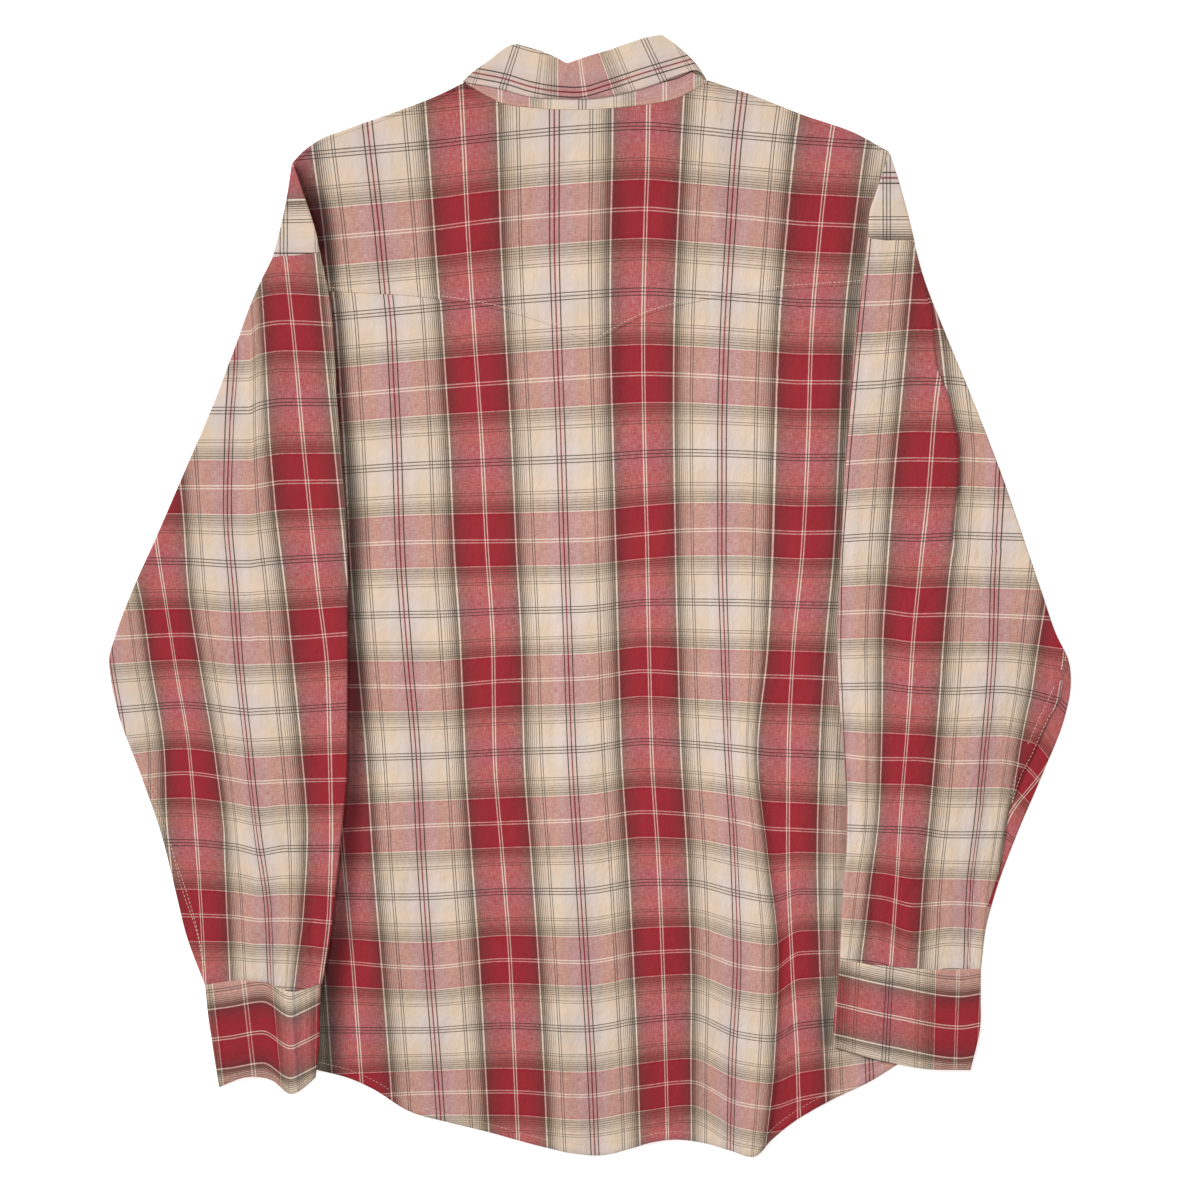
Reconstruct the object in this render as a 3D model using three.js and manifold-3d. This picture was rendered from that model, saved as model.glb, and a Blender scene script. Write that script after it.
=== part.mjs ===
// A men's long-sleeved western snap shirt, laid face down with its back up and both sleeves
// folded in over the back. Millimetres: X runs across the shirt, Y from hem to collar, and Z up
// from the surface that the front lies on. The origin is on that surface, below the middle.
import * as THREE from 'three';
import { mergeVertices } from 'three/addons/utils/BufferGeometryUtils.js';
import Module from 'manifold-3d';

const wasm = await Module();
wasm.setup();

// Driving dimensions
const CLOTH = 1.2;
const GAP = 0.3;
const LAYER = CLOTH + GAP;
const HALF_GAP = GAP / 2;
const RIM = 1.5;                // cloth where it turns over a folded edge
const TUCK = 0.1;               // how far a rim keeps inside the faces of the cloth that it joins
const FRONT_CENTRE = -1;        // X of the centre front, the neck and the placket
const PLACKET_WIDTH = 38;
const YOKE_WRAP = 20;           // how far the yoke runs over the shoulder on to the front
const ARMPIT_Y = 43.5;
const TALL = 30;                // height of the prisms that outlines are cut with

// Collar and neck
const NECK_HALF = 88.5;         // half the width of the flattened neck
const NECK_DROP = 88;           // how far the front neck lies below the shoulder's neck point
const NECK_Y = 398;
const STAND_HEIGHT = 30;
const WING_TIP = { out: 46, y: 282 };    // collar points, each this far from the centre front
const WING_HALF = 97;           // half-width over which the fronts ride up on the collar points

// Snaps
const SNAP_RADIUS = 5.5;
const SNAP_HOLE = SNAP_RADIUS + GAP;
const FRONT_SNAPS = { count: 7, topY: 255, pitch: 92 };
const CUFF_SNAPS = { count: 2, pitch: 32 };

const at = (x, y) => new THREE.Vector2(x, y);
const clamp = (value, low, high) => Math.min(Math.max(value, low), high);
const ramp = (distance, width) => clamp(distance / width, 0, 1);
const mix = (a, b, t) => a + (b - a) * t;

// Outlines seen from above, read from the laid shirt, each from the wearer's left to the right
const NECK_SEAM = [
  at(-89.5, 397), at(-77, 386.2), at(-65.5, 380), at(-46.2, 376.9), at(0, 375.4),
  at(30.8, 377.7), at(53.9, 380.8), at(77, 388.5), at(87.5, 398.4),
];
const SHOULDER_LEFT = [
  at(-228.7, 333.8), at(-223.3, 340), at(-207.9, 351.5), at(-188.7, 359.2), at(-155.5, 370.8),
  at(-115.5, 386.2), at(-97, 396.2), at(-89.5, 397),
];
const SHOULDER_RIGHT = [
  at(87.5, 398.4), at(124, 386.2), at(163.2, 370.8), at(206.4, 355.4), at(223.3, 346.1),
  at(230.2, 342.3),
];
const YOKE_SEAM = [
  at(-262, 241), at(-200.2, 237.5), at(-123.2, 232.2), at(-65.5, 222.1), at(-30.8, 211.4),
  at(2.3, 196.7), at(38.5, 216.8), at(84.7, 229.8), at(130.9, 236.8), at(200.2, 242.2),
  at(262, 246),
];
const HEM = [
  at(-283.4, -310.7), at(-273, -334), at(-254, -349), at(-231, -360), at(-209.4, -365),
  at(-184.8, -371.5), at(-169, -378.5), at(-138.6, -397), at(-108, -405.4), at(-77, -413),
  at(-46, -421.6), at(-15, -428.5), at(7.7, -430.4), at(31, -425.4), at(46, -420.8),
  at(61.6, -418.5), at(92.4, -422.3), at(108, -427), at(127, -431.6), at(138.6, -420),
  at(154, -407), at(185, -388.5), at(215.6, -373.8), at(239.5, -359), at(262, -345),
  at(277, -332), at(286.4, -310.7),
];
const COLLAR_TOP = [
  at(-97, 396.2), at(-91.6, 401.6), at(-77, 412.3), at(-61.6, 423.1), at(-56.2, 424.3),
  at(-46.2, 421.6), at(-30.8, 416.2), at(-17.7, 409.3), at(0, 415.4), at(15.4, 420),
  at(30.8, 425.4), at(46.2, 430), at(54.7, 431.6), at(61.6, 427), at(77, 413.9),
  at(89.3, 398.5),
];
const FALL_EDGE = [
  at(-95.5, 395.6), at(-69.3, 390.8), at(-46.2, 384.6), at(-23.1, 383.1), at(7.7, 383.8),
  at(30.8, 388.5), at(53.9, 395.4), at(77, 401), at(88.4, 397.8),
];

// Each side's own edges: the fold where the outer shoulder turns over, the armhole and side seam
const SIDES = {
  left: {
    sign: -1,
    fold: [at(-228.7, 333.8), at(-233.3, 308), at(-237.9, 286.1), at(-244.9, 262.5)],
    flapSeam: [at(-244.9, 261.6), at(-236.4, 264.4), at(-223.3, 266.6), at(-207.9, 267.4)],
    flapInner: [at(-210.2, 278.4), at(-214.8, 293.8), at(-219.5, 307.6), at(-228.7, 333.8)],
    armhole: [at(-233, 262.5), at(-258, 150), at(-308, ARMPIT_Y)],
    sideEnd: at(-283.4, -310.7),
    shoulder: SHOULDER_LEFT,
  },
  right: {
    sign: 1,
    fold: [at(230.2, 342.3), at(238.7, 316.9), at(244.9, 293.8), at(250.2, 275)],
    flapSeam: [at(250.2, 274.4), at(244.9, 277), at(230, 277.8), at(214.1, 278.2)],
    flapInner: [at(215.6, 297.6), at(219.5, 309.2), at(224.8, 324.6), at(230.2, 342.3)],
    armhole: [at(238, 275), at(262, 160), at(308, ARMPIT_Y)],
    sideEnd: at(286.4, -310.7),
    shoulder: SHOULDER_RIGHT,
  },
};

// Sleeves from head to cuff: outer edge (fold, then underarm seam), inner edge, height of the
// outer edge, and how much of the hidden folded cloth lies under the outer part
const SLEEVES = {
  left: [
    { outX: -244.6, outY: 260.9, inX: -207.9, inY: 266.6, edge: 6.0, under: 1 },
    { outX: -258.7, outY: 232, inX: -200.7, inY: 232, edge: 6.2, under: 1 },
    { outX: -274.2, outY: 190, inX: -196.7, inY: 190, edge: 6.4, under: 1 },
    { outX: -289.6, outY: 150, inX: -194.6, inY: 150, edge: 6.4, under: 1 },
    { outX: -312, outY: 97, inX: -190.4, inY: 97, edge: 6.2, under: 1 },
    { outX: -335.1, outY: ARMPIT_Y, inX: -186.9, inY: ARMPIT_Y, edge: 6.0, under: 1 },
    { outX: -354.2, outY: 1, inX: -186.3, inY: 1, edge: 5.6, under: 0.8 },
    { outX: -365.8, outY: -30, inX: -186.3, inY: -30, edge: 5.0, under: 0.4 },
    { outX: -371, outY: -48, inX: -186.4, inY: -48, edge: 4.4, under: 0.1 },
    { outX: -370.4, outY: -61, inX: -186.5, inY: -61, edge: 4.0, under: 0 },
    { outX: -363.4, outY: -91, inX: -186.7, inY: -91, edge: 3.6, under: 0 },
    { outX: -346.5, outY: -137, inX: -187, inY: -137, edge: 3.4, under: 0 },
    { outX: -330.3, outY: -184, inX: -191.3, inY: -184, edge: 3.4, under: 0 },
    { outX: -318.8, outY: -230, inX: -196, inY: -230, edge: 3.4, under: 0 },
    { outX: -311.1, outY: -261, inX: -199.5, inY: -261, edge: 3.6, under: 0 },
    { outX: -296.4, outY: -299.3, inX: -206.4, inY: -298.3, edge: 6.0, under: 0 },
  ],
  right: [
    { outX: 249.5, outY: 273.4, inX: 214.1, inY: 277.4, edge: 6.0, under: 1 },
    { outX: 255.7, outY: 250, inX: 211, inY: 250, edge: 6.2, under: 1 },
    { outX: 276.6, outY: 196, inX: 204, inY: 196, edge: 6.4, under: 1 },
    { outX: 291.5, outY: 160, inX: 201, inY: 160, edge: 6.4, under: 1 },
    { outX: 314.5, outY: 101, inX: 196.7, inY: 101, edge: 6.2, under: 1 },
    { outX: 334.5, outY: ARMPIT_Y, inX: 193.9, inY: ARMPIT_Y, edge: 6.0, under: 1 },
    { outX: 348.8, outY: 1, inX: 191.6, inY: 1, edge: 5.6, under: 0.8 },
    { outX: 359.6, outY: -30, inX: 190.8, inY: -30, edge: 5.0, under: 0.4 },
    { outX: 368.8, outY: -48, inX: 190.4, inY: -48, edge: 4.4, under: 0.1 },
    { outX: 371.1, outY: -68, inX: 191.1, inY: -68, edge: 4.0, under: 0 },
    { outX: 366.5, outY: -91, inX: 192.6, inY: -91, edge: 3.6, under: 0 },
    { outX: 348.8, outY: -137, inX: 196.6, inY: -137, edge: 3.4, under: 0 },
    { outX: 328.8, outY: -184, inX: 197.9, inY: -184, edge: 3.4, under: 0 },
    { outX: 311.9, outY: -230, inX: 194.8, inY: -230, edge: 3.6, under: 0 },
    { outX: 305, outY: -256, inX: 193.3, inY: -256, edge: 4.2, under: 0 },
    { outX: 301.1, outY: -287.2, inX: 192.5, inY: -280.8, edge: 6.0, under: 0 },
  ],
};
const CUFFS = {
  left: [
    { outX: -296.4, outY: -300.2, inX: -207, inY: -299.2 },
    { outX: -294, outY: -322, inX: -207.7, inY: -322 },
    { outX: -290.5, outY: -346, inX: -208.5, inY: -346 },
    { outX: -285.7, outY: -377.5, inX: -211, inY: -370 },
  ],
  right: [
    { outX: 301.1, outY: -287.8, inX: 192.1, inY: -281.4 },
    { outX: 300.7, outY: -309, inX: 190, inY: -304.5 },
    { outX: 300.2, outY: -333, inX: 187.6, inY: -327.6 },
    { outX: 293, outY: -364.5, inX: 187.9, inY: -346.9 },
  ],
};
// How the seam between sleeve and cuff wanders from a straight line, outer edge to inner edge
const CUFF_SAG = {
  left: [
    { share: 0, sag: 0 }, { share: 0.3, sag: 3 }, { share: 0.55, sag: 0.5 },
    { share: 0.75, sag: -6 }, { share: 0.86, sag: -4.5 }, { share: 1, sag: 0 },
  ],
  right: [{ share: 0, sag: 0 }, { share: 0.35, sag: -2.8 }, { share: 0.7, sag: -2 }, { share: 1, sag: 0 }],
};
const SAG_REACH = 45;            // length of sleeve over which the seam's wander fades out

// Soft folds: where the crest starts and ends, its half-width and its rise
const BACK_FOLDS = [
  { topX: -150, topY: 215, endX: -160, endY: -385, half: 30, rise: 1.8 },
  { topX: -86, topY: 150, endX: -100, endY: -410, half: 34, rise: 1.5 },
  { topX: -20, topY: 110, endX: -30, endY: -425, half: 30, rise: 1.7 },
  { topX: 38, topY: 60, endX: 48, endY: -420, half: 30, rise: 1.9 },
  { topX: 112, topY: 170, endX: 120, endY: -428, half: 32, rise: 3.0 },
  { topX: 160, topY: 120, endX: 168, endY: -395, half: 24, rise: 1.3 },
];
const SLEEVE_FOLDS = {
  left: [
    { topX: -240, topY: 230, endX: -262, endY: -280, half: 34, rise: 1.5 },
    { topX: -298, topY: 120, endX: -290, endY: -260, half: 26, rise: 1.2 },
  ],
  right: [
    { topX: 236, topY: 255, endX: 262, endY: 30, half: 26, rise: 2.0 },
    { topX: 262, topY: 30, endX: 244, endY: -270, half: 34, rise: 1.5 },
    { topX: 318, topY: 40, endX: 288, endY: -240, half: 26, rise: 1.2 },
  ],
};
const CUFF_FOLDS = {
  left: [{ topX: -230, topY: -270, endX: -230, endY: -410, half: 20, rise: 2.2 }],
  right: [{ topX: 222, topY: -250, endX: 214, endY: -390, half: 26, rise: 1.2 }],
};

// Height of a set of soft folds: each is a squared cosine across, and swells along its length
function foldRise(folds, x, y) {
  let rise = 0;
  for (const fold of folds) {
    const along = (fold.topY - y) / (fold.topY - fold.endY);
    const across = (x - mix(fold.topX, fold.endX, clamp(along, 0, 1))) / fold.half;
    if (along <= 0 || Math.abs(across) >= 1) continue;
    const swell = ramp(along, 0.45);
    rise += fold.rise * swell * Math.cos(across * Math.PI / 2) ** 2;
  }
  return rise;
}

// How far the laid layers ride up: over the collar points, and over the front's lapped centre
const PLACKET_FLAT = PLACKET_WIDTH / 2 + 1;
const PLACKET_RAMP = 7;
const WING_RAMP = 14;
const LAP_TOP = 313;
const LAP_RAMP = 25;
function wingLift(x, y) {
  const across = ramp(WING_HALF + WING_RAMP - Math.abs(x - FRONT_CENTRE), WING_RAMP);
  return LAYER * across * ramp(y - WING_TIP.y + WING_RAMP + 4, WING_RAMP);
}
function lapLift(x) {
  return LAYER * ramp(PLACKET_FLAT + PLACKET_RAMP - Math.abs(x - FRONT_CENTRE), PLACKET_RAMP);
}
const frontBase = (x, y) => wingLift(x, y);
const lapBase = (x, y) => wingLift(x, y) + lapLift(x);
const backBase = (x, y) => {
  const lap = lapLift(x) * ramp(LAP_TOP + LAP_RAMP - y, LAP_RAMP);
  return LAYER + lap + wingLift(x, y) + foldRise(BACK_FOLDS, x, y);
};

// The lines of the grid that every laid layer shares, so that layers nest however they are cut
const BREAK_X = [PLACKET_FLAT, PLACKET_FLAT + PLACKET_RAMP, WING_HALF, WING_HALF + WING_RAMP]
  .flatMap((out) => [FRONT_CENTRE - out, FRONT_CENTRE + out]);
const BREAK_Y = [WING_TIP.y - 4 - WING_RAMP, WING_TIP.y - 4, LAP_TOP, LAP_TOP + LAP_RAMP];
function gridLines(ends, breaks, longest) {
  const fixed = [...ends, ...breaks].sort((a, b) => a - b);
  const lines = [fixed[0]];
  for (let i = 1; i < fixed.length; i += 1) {
    const parts = Math.max(1, Math.ceil((fixed[i] - fixed[i - 1]) / longest));
    for (let part = 1; part <= parts; part += 1) {
      lines.push(mix(fixed[i - 1], fixed[i], part / parts));
    }
  }
  return lines;
}

// A closed solid for joining and cutting, from a geometry whose shared points are merged
function solid(geometry) {
  const bare = geometry.clone();
  bare.deleteAttribute('normal');
  bare.deleteAttribute('uv');
  const merged = mergeVertices(bare, 1e-4);
  return new wasm.Manifold(new wasm.Mesh({
    numProp: 3,
    vertProperties: new Float32Array(merged.attributes.position.array),
    triVerts: new Uint32Array(merged.index.array),
  }));
}

// An upright prism on an outline seen from above
function prism(outline, low = -TALL, high = TALL) {
  const shape = new THREE.Shape(outline);
  const geometry = new THREE.ExtrudeGeometry(shape, { depth: high - low, bevelEnabled: false });
  geometry.translate(0, 0, low);
  return solid(geometry);
}

// Cloth laid over a rectangle: under side at base(x, y), and thickness(x, y) above it
function laidCloth(xs, ys, base, thickness = () => CLOTH) {
  const points = [];
  for (const top of [0, 1]) {
    for (const y of ys) {
      for (const x of xs) points.push(x, y, base(x, y) + top * thickness(x, y));
    }
  }
  const layer = xs.length * ys.length;
  const index = (i, j, top) => top * layer + j * xs.length + i;
  const faces = [];
  const quad = (a, b, c, d) => faces.push(a, b, c, a, c, d);
  const lastX = xs.length - 1;
  const lastY = ys.length - 1;
  for (let j = 0; j < lastY; j += 1) {
    for (let i = 0; i < lastX; i += 1) {
      quad(index(i, j, 1), index(i + 1, j, 1), index(i + 1, j + 1, 1), index(i, j + 1, 1));
      faces.push(index(i, j, 0), index(i + 1, j + 1, 0), index(i + 1, j, 0));
      faces.push(index(i, j, 0), index(i, j + 1, 0), index(i + 1, j + 1, 0));
    }
    quad(index(0, j + 1, 0), index(0, j, 0), index(0, j, 1), index(0, j + 1, 1));
    quad(index(lastX, j, 0), index(lastX, j + 1, 0), index(lastX, j + 1, 1), index(lastX, j, 1));
  }
  for (let i = 0; i < lastX; i += 1) {
    quad(index(i, 0, 0), index(i + 1, 0, 0), index(i + 1, 0, 1), index(i, 0, 1));
    quad(index(i + 1, lastY, 0), index(i, lastY, 0), index(i, lastY, 1), index(i + 1, lastY, 1));
  }
  const geometry = new THREE.BufferGeometry();
  geometry.setAttribute('position', new THREE.Float32BufferAttribute(points, 3));
  geometry.setIndex(faces);
  return solid(geometry);
}

// A strip of a given width along the left of a path, for cloth turned over a folded edge
function strip(path, width) {
  const moved = (distance) => path.map((point, i) => {
    const before = path[Math.max(i - 1, 0)];
    const after = path[Math.min(i + 1, path.length - 1)];
    const step = after.clone().sub(before).normalize();
    return at(point.x - step.y * distance, point.y + step.x * distance);
  });
  return [...moved(TUCK), ...moved(width).reverse()];
}

const shifted = (path, dx, dy) => path.map((point) => at(point.x + dx, point.y + dy));
const reversed = (path) => [...path].reverse();

// The piece of a path whose X lies between two values, ends worked out along it
function between(path, low, high) {
  const heightAt = (x) => {
    const i = clamp(path.findIndex((point) => point.x > x), 1, path.length - 1);
    const t = (x - path[i - 1].x) / (path[i].x - path[i - 1].x);
    return mix(path[i - 1].y, path[i].y, t);
  };
  const inside = path.filter((point) => point.x > low && point.x < high);
  return [at(low, heightAt(low)), ...inside, at(high, heightAt(high))];
}

// Front neck edge: half an ellipse, grown outwards by a clearance
function neckCurve(grow) {
  const half = NECK_HALF + grow;
  const drop = NECK_DROP + grow;
  const steps = 18;
  return Array.from({ length: steps + 1 }, (_, i) => {
    const angle = Math.PI * (1 + i / steps);
    return at(FRONT_CENTRE + half * Math.cos(angle), NECK_Y + drop * Math.sin(angle));
  });
}
const neckHole = prism([...neckCurve(HALF_GAP), at(NECK_HALF, 440), at(-NECK_HALF, 440)]);

// Layers of laid cloth that the body's pieces are cut from
const bodyX = [-330, 330];
const bodyY = [-440, 440];
const frontX = gridLines(bodyX, BREAK_X, 400);
const frontY = gridLines(bodyY, BREAK_Y, 500);
const frontLayer = laidCloth(frontX, frontY, frontBase);
const lapLayer = laidCloth(frontX, frontY, lapBase);
const backLayer = laidCloth(
  gridLines(bodyX, BREAK_X, 15),
  gridLines(bodyY, BREAK_Y, 42),
  backBase,
  (x, y) => CLOTH + 0.2 * foldRise(BACK_FOLDS, x, y),
);

// The outer part of a front, turned over at the shoulder with its sleeve, above the yoke
const FLAP_LOW = 2 * LAYER;
const FLAP_RISE = 1.8;
const FLAP_LENGTH = 66;
function shoulderFlap(side) {
  const lowest = side.flapSeam[0].y;
  const base = (x, y) => FLAP_LOW + FLAP_RISE * ramp(lowest + FLAP_LENGTH - y, FLAP_LENGTH);
  const inner = side.sign * 190;
  const outer = side.sign * 262;
  const xs = [Math.min(inner, outer), Math.max(inner, outer)];
  const ys = gridLines([lowest - 6, lowest + FLAP_LENGTH, 360], [], 17);
  const flap = laidCloth(xs, ys, base).intersect(prism([
    ...side.fold, ...side.flapSeam, ...side.flapInner.slice(0, -1),
  ].reverse()));
  const [, upper, middle, lower] = side.fold;
  const rimPath = [upper.clone().lerp(middle, 0.1), middle, middle.clone().lerp(lower, 0.88)];
  const rimStrip = strip(side.sign < 0 ? rimPath : reversed(rimPath), RIM);
  const rimHeight = (x, y) => base(x, y) + CLOTH - 2 * TUCK;
  const rim = laidCloth(xs, ys, () => TUCK, rimHeight).intersect(prism(rimStrip));
  return flap.add(rim);
}

// One front: from the shoulder seam, below the yoke's wrap, by fold, armhole, side and hem to its
// centre edge, less the neck
const HEM_RISE = 5;             // the fronts' hem lies this much above the back's, out of sight
const NECK_CORNER_Y = 376;
function frontPiece(side, layer, centreX) {
  const isLeft = side.sign < 0;
  const shoulder = shifted(isLeft ? reversed(side.shoulder) : side.shoulder, 0, -YOKE_WRAP - GAP);
  const hem = isLeft ? between(HEM, -283.3, centreX) : reversed(between(HEM, centreX, 286.3));
  const outline = [
    at(centreX, NECK_CORNER_Y),
    ...shoulder,
    ...side.fold.slice(1),
    ...side.armhole,
    ...shifted(hem, 0, HEM_RISE),
  ];
  return layer.intersect(prism(outline)).subtract(neckHole).add(shoulderFlap(side));
}

const placketLeft = FRONT_CENTRE - PLACKET_WIDTH / 2;
const placketRight = FRONT_CENTRE + PLACKET_WIDTH / 2;
const frontLeft = frontPiece(SIDES.left, frontLayer, placketLeft - GAP);
const frontRight = frontPiece(SIDES.right, lapLayer, placketLeft);

// Where each snap's cap sits, and the cap itself: a low rimmed button, face down
const frontSnaps = Array.from({ length: FRONT_SNAPS.count }, (_, i) => ({
  name: `snap_${i + 1}`,
  x: FRONT_CENTRE,
  y: FRONT_SNAPS.topY - i * FRONT_SNAPS.pitch,
  z: 0,
}));
function snapHole(snap) {
  const round = new THREE.CylinderGeometry(SNAP_HOLE, SNAP_HOLE, 3 * CLOTH, 16);
  round.rotateX(Math.PI / 2);
  round.translate(snap.x, snap.y, snap.z + CLOTH / 2);
  return solid(round);
}
function snapCap(snap) {
  const profile = [
    at(0, 0), at(0.8 * SNAP_RADIUS, 0), at(SNAP_RADIUS, 0.35 * CLOTH), at(SNAP_RADIUS, 0.8 * CLOTH),
    at(0.9 * SNAP_RADIUS, CLOTH), at(0, CLOTH),
  ];
  const cap = new THREE.LatheGeometry(profile, 16);
  cap.rotateX(Math.PI / 2);
  cap.translate(snap.x, snap.y, snap.z);
  return cap;
}

// The placket lies on the surface beside the left front, with a hole for each snap's cap
const placketStrip = frontLayer.intersect(prism([
  ...shifted(between(HEM, placketLeft, placketRight), 0, HEM_RISE),
  at(placketRight, NECK_CORNER_Y),
  at(placketLeft, NECK_CORNER_Y),
])).subtract(neckHole);
const placket = frontSnaps.reduce((strap, snap) => strap.subtract(snapHole(snap)), placketStrip);

// The whole back in plan, clear of the fronts' folds at the outer shoulders
const FOLD_CLEAR = RIM + GAP;
function foldSide(side) {
  const inwards = -side.sign * FOLD_CLEAR;
  return side.fold.map((point, i) => (i === 0 ? point : at(point.x + inwards, point.y)));
}
const backPlan = prism([
  ...HEM,
  ...reversed(SIDES.right.armhole),
  ...reversed(foldSide(SIDES.right)),
  ...reversed(SHOULDER_RIGHT).slice(1),
  ...reversed(NECK_SEAM).slice(1),
  ...reversed(SHOULDER_LEFT).slice(1),
  ...foldSide(SIDES.left).slice(1),
  ...SIDES.left.armhole,
]);
const aboveSeam = prism([...shifted(YOKE_SEAM, 0, HALF_GAP), at(262, 440), at(-262, 440)]);
const belowSeam = prism([
  ...shifted(YOKE_SEAM, 0, -HALF_GAP), at(330, 240), at(330, -440), at(-330, -440), at(-330, 240),
]);

// The yoke turned over a shoulder: a rim along the shoulder line and a strip on the front
const shoulderLayer = laidCloth(
  frontX,
  frontY,
  (x, y) => frontBase(x, y) + TUCK,
  () => LAYER + CLOTH - 2 * TUCK,
);
function yokeWrap(side) {
  const line = reversed(side.shoulder);
  const under = frontLayer.intersect(prism([...line, ...reversed(shifted(line, 0, -YOKE_WRAP))]));
  return under.add(shoulderLayer.intersect(prism(strip(line, RIM)))).subtract(neckHole);
}
const backCloth = backLayer.intersect(backPlan);
const backYoke = backCloth.intersect(aboveSeam).add(yokeWrap(SIDES.left)).add(yokeWrap(SIDES.right));
const backPanel = backCloth.intersect(belowSeam);

// Edge of the body at a height, from the top of the armhole down to the side seam's end
function bodyEdge(side, y) {
  const path = [...side.armhole, side.sideEnd];
  const found = path.findIndex((point) => point.y < y);
  const i = clamp(found < 0 ? path.length - 1 : found, 1, path.length - 1);
  const t = (path[i - 1].y - y) / (path[i - 1].y - path[i].y);
  return mix(path[i - 1].x, path[i].x, t);
}

// A flattened tube, open at both ends. Each row of the table is a list of places across it, from
// the outer to the inner edge: x, y, the under and upper outside heights, and the lower wall.
const EDGE_MEETING = 0.3;
function flatTube(rows) {
  const columns = rows[0].length;
  const loop = 2 * columns;
  const points = [];
  for (const row of rows) {
    const last = columns - 1;
    const outside = [
      ...row.map((place) => [place.x, place.y, place.low]),
      ...reversed(row).map((place) => [place.x, place.y, place.high]),
    ];
    const inner = row.map((place, i) => {
      if (i > 0 && i < last) return { ...place, under: place.low + place.wall, over: place.high - CLOTH };
      const next = row[i === 0 ? 1 : last - 1];
      const middle = (place.low + place.high) / 2;
      const t = CLOTH / Math.hypot(next.x - place.x, next.y - place.y);
      return {
        x: mix(place.x, next.x, t),
        y: mix(place.y, next.y, t),
        under: middle - EDGE_MEETING,
        over: middle + EDGE_MEETING,
      };
    });
    const inside = [
      ...inner.map((place) => [place.x, place.y, place.under]),
      ...reversed(inner).map((place) => [place.x, place.y, place.over]),
    ];
    points.push(...outside.flat(), ...inside.flat());
  }
  const index = (row, wall, i) => (row * 2 + wall) * loop + (i % loop);
  const faces = [];
  const quad = (a, b, c, d) => faces.push(a, b, c, a, c, d);
  const lastRow = rows.length - 1;
  for (let i = 0; i < loop; i += 1) {
    for (let row = 0; row < lastRow; row += 1) {
      quad(index(row, 0, i), index(row, 0, i + 1), index(row + 1, 0, i + 1), index(row + 1, 0, i));
      quad(index(row, 1, i), index(row + 1, 1, i), index(row + 1, 1, i + 1), index(row, 1, i + 1));
    }
    quad(index(0, 0, i), index(0, 1, i), index(0, 1, i + 1), index(0, 0, i + 1));
    quad(
      index(lastRow, 0, i),
      index(lastRow, 0, i + 1),
      index(lastRow, 1, i + 1),
      index(lastRow, 1, i),
    );
  }
  const geometry = new THREE.BufferGeometry();
  geometry.setAttribute('position', new THREE.Float32BufferAttribute(points, 3));
  geometry.setIndex(faces);
  return geometry;
}

// How far the cuff's seam wanders at a share of the way across
function sagAt(table, share) {
  const i = clamp(table.findIndex((row) => row.share > share), 1, table.length - 1);
  const step = table[i];
  const before = table[share >= 1 ? table.length - 1 : i - 1];
  if (share >= 1) return before.sag;
  return mix(before.sag, step.sag, (share - before.share) / (step.share - before.share));
}

// Shares across a sleeve: the outer part lies on the surface, the inner part on the body
const OUTER_SHARES = [0.35, 0.7];
const INNER_SHARES = [0, 0.14, 0.29, 0.43, 0.57, 0.71, 0.85, 0.95];
const EDGE_ROUND = 1.6;
const ON_BODY = 2 * LAYER;
const TUBE_HIGH = 6.0;
const STEP_CLEAR = 0.5;
const STEP_WIDTH = 3;
const CUFF_RISE = 38;           // length over which the sleeve's outer part rises to the cuff

function sleevePiece(side, table, sag, folds) {
  const seam = table[table.length - 1];
  const rows = table.map((row) => {
    const across = Math.abs(row.inX - row.outX);
    const inwards = -side.sign;
    const edgeX = bodyEdge(side, row.outY) + side.sign * STEP_CLEAR;
    const surfaceX = edgeX + side.sign * STEP_WIDTH;
    const low = ON_BODY * ramp(seam.outY + CUFF_RISE - row.outY, CUFF_RISE);
    const fade = ramp(seam.outY + SAG_REACH - row.outY, SAG_REACH);
    const place = (x, under, wall, high) => {
      const share = Math.abs(x - row.outX) / across;
      const y = mix(row.outY, row.inY, share) + fade * sagAt(sag, share);
      return { x, y, low: under, wall, high: high + foldRise(folds, x, y) };
    };
    const wall = CLOTH + (ON_BODY - CLOTH) * row.under;
    const shoulderHigh = (t) => mix(row.edge, TUBE_HIGH, t);
    return [
      place(row.outX, low + CLOTH / 2, wall, row.edge - CLOTH / 2),
      place(row.outX + inwards * EDGE_ROUND, low, wall, row.edge),
      ...OUTER_SHARES.map((t) => (
        place(mix(row.outX + inwards * EDGE_ROUND, surfaceX, t), low, wall, shoulderHigh(t))
      )),
      place(surfaceX, low, wall, TUBE_HIGH),
      ...INNER_SHARES.map((t) => (
        place(mix(edgeX, row.inX - inwards * EDGE_ROUND, t), ON_BODY, CLOTH, TUBE_HIGH)
      )),
      place(row.inX - inwards * EDGE_ROUND, ON_BODY, CLOTH, TUBE_HIGH),
      place(row.inX, ON_BODY + CLOTH / 2, CLOTH, TUBE_HIGH - CLOTH / 2),
    ];
  });
  return flatTube(side.sign < 0 ? rows : rows.map(reversed));
}

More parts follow.
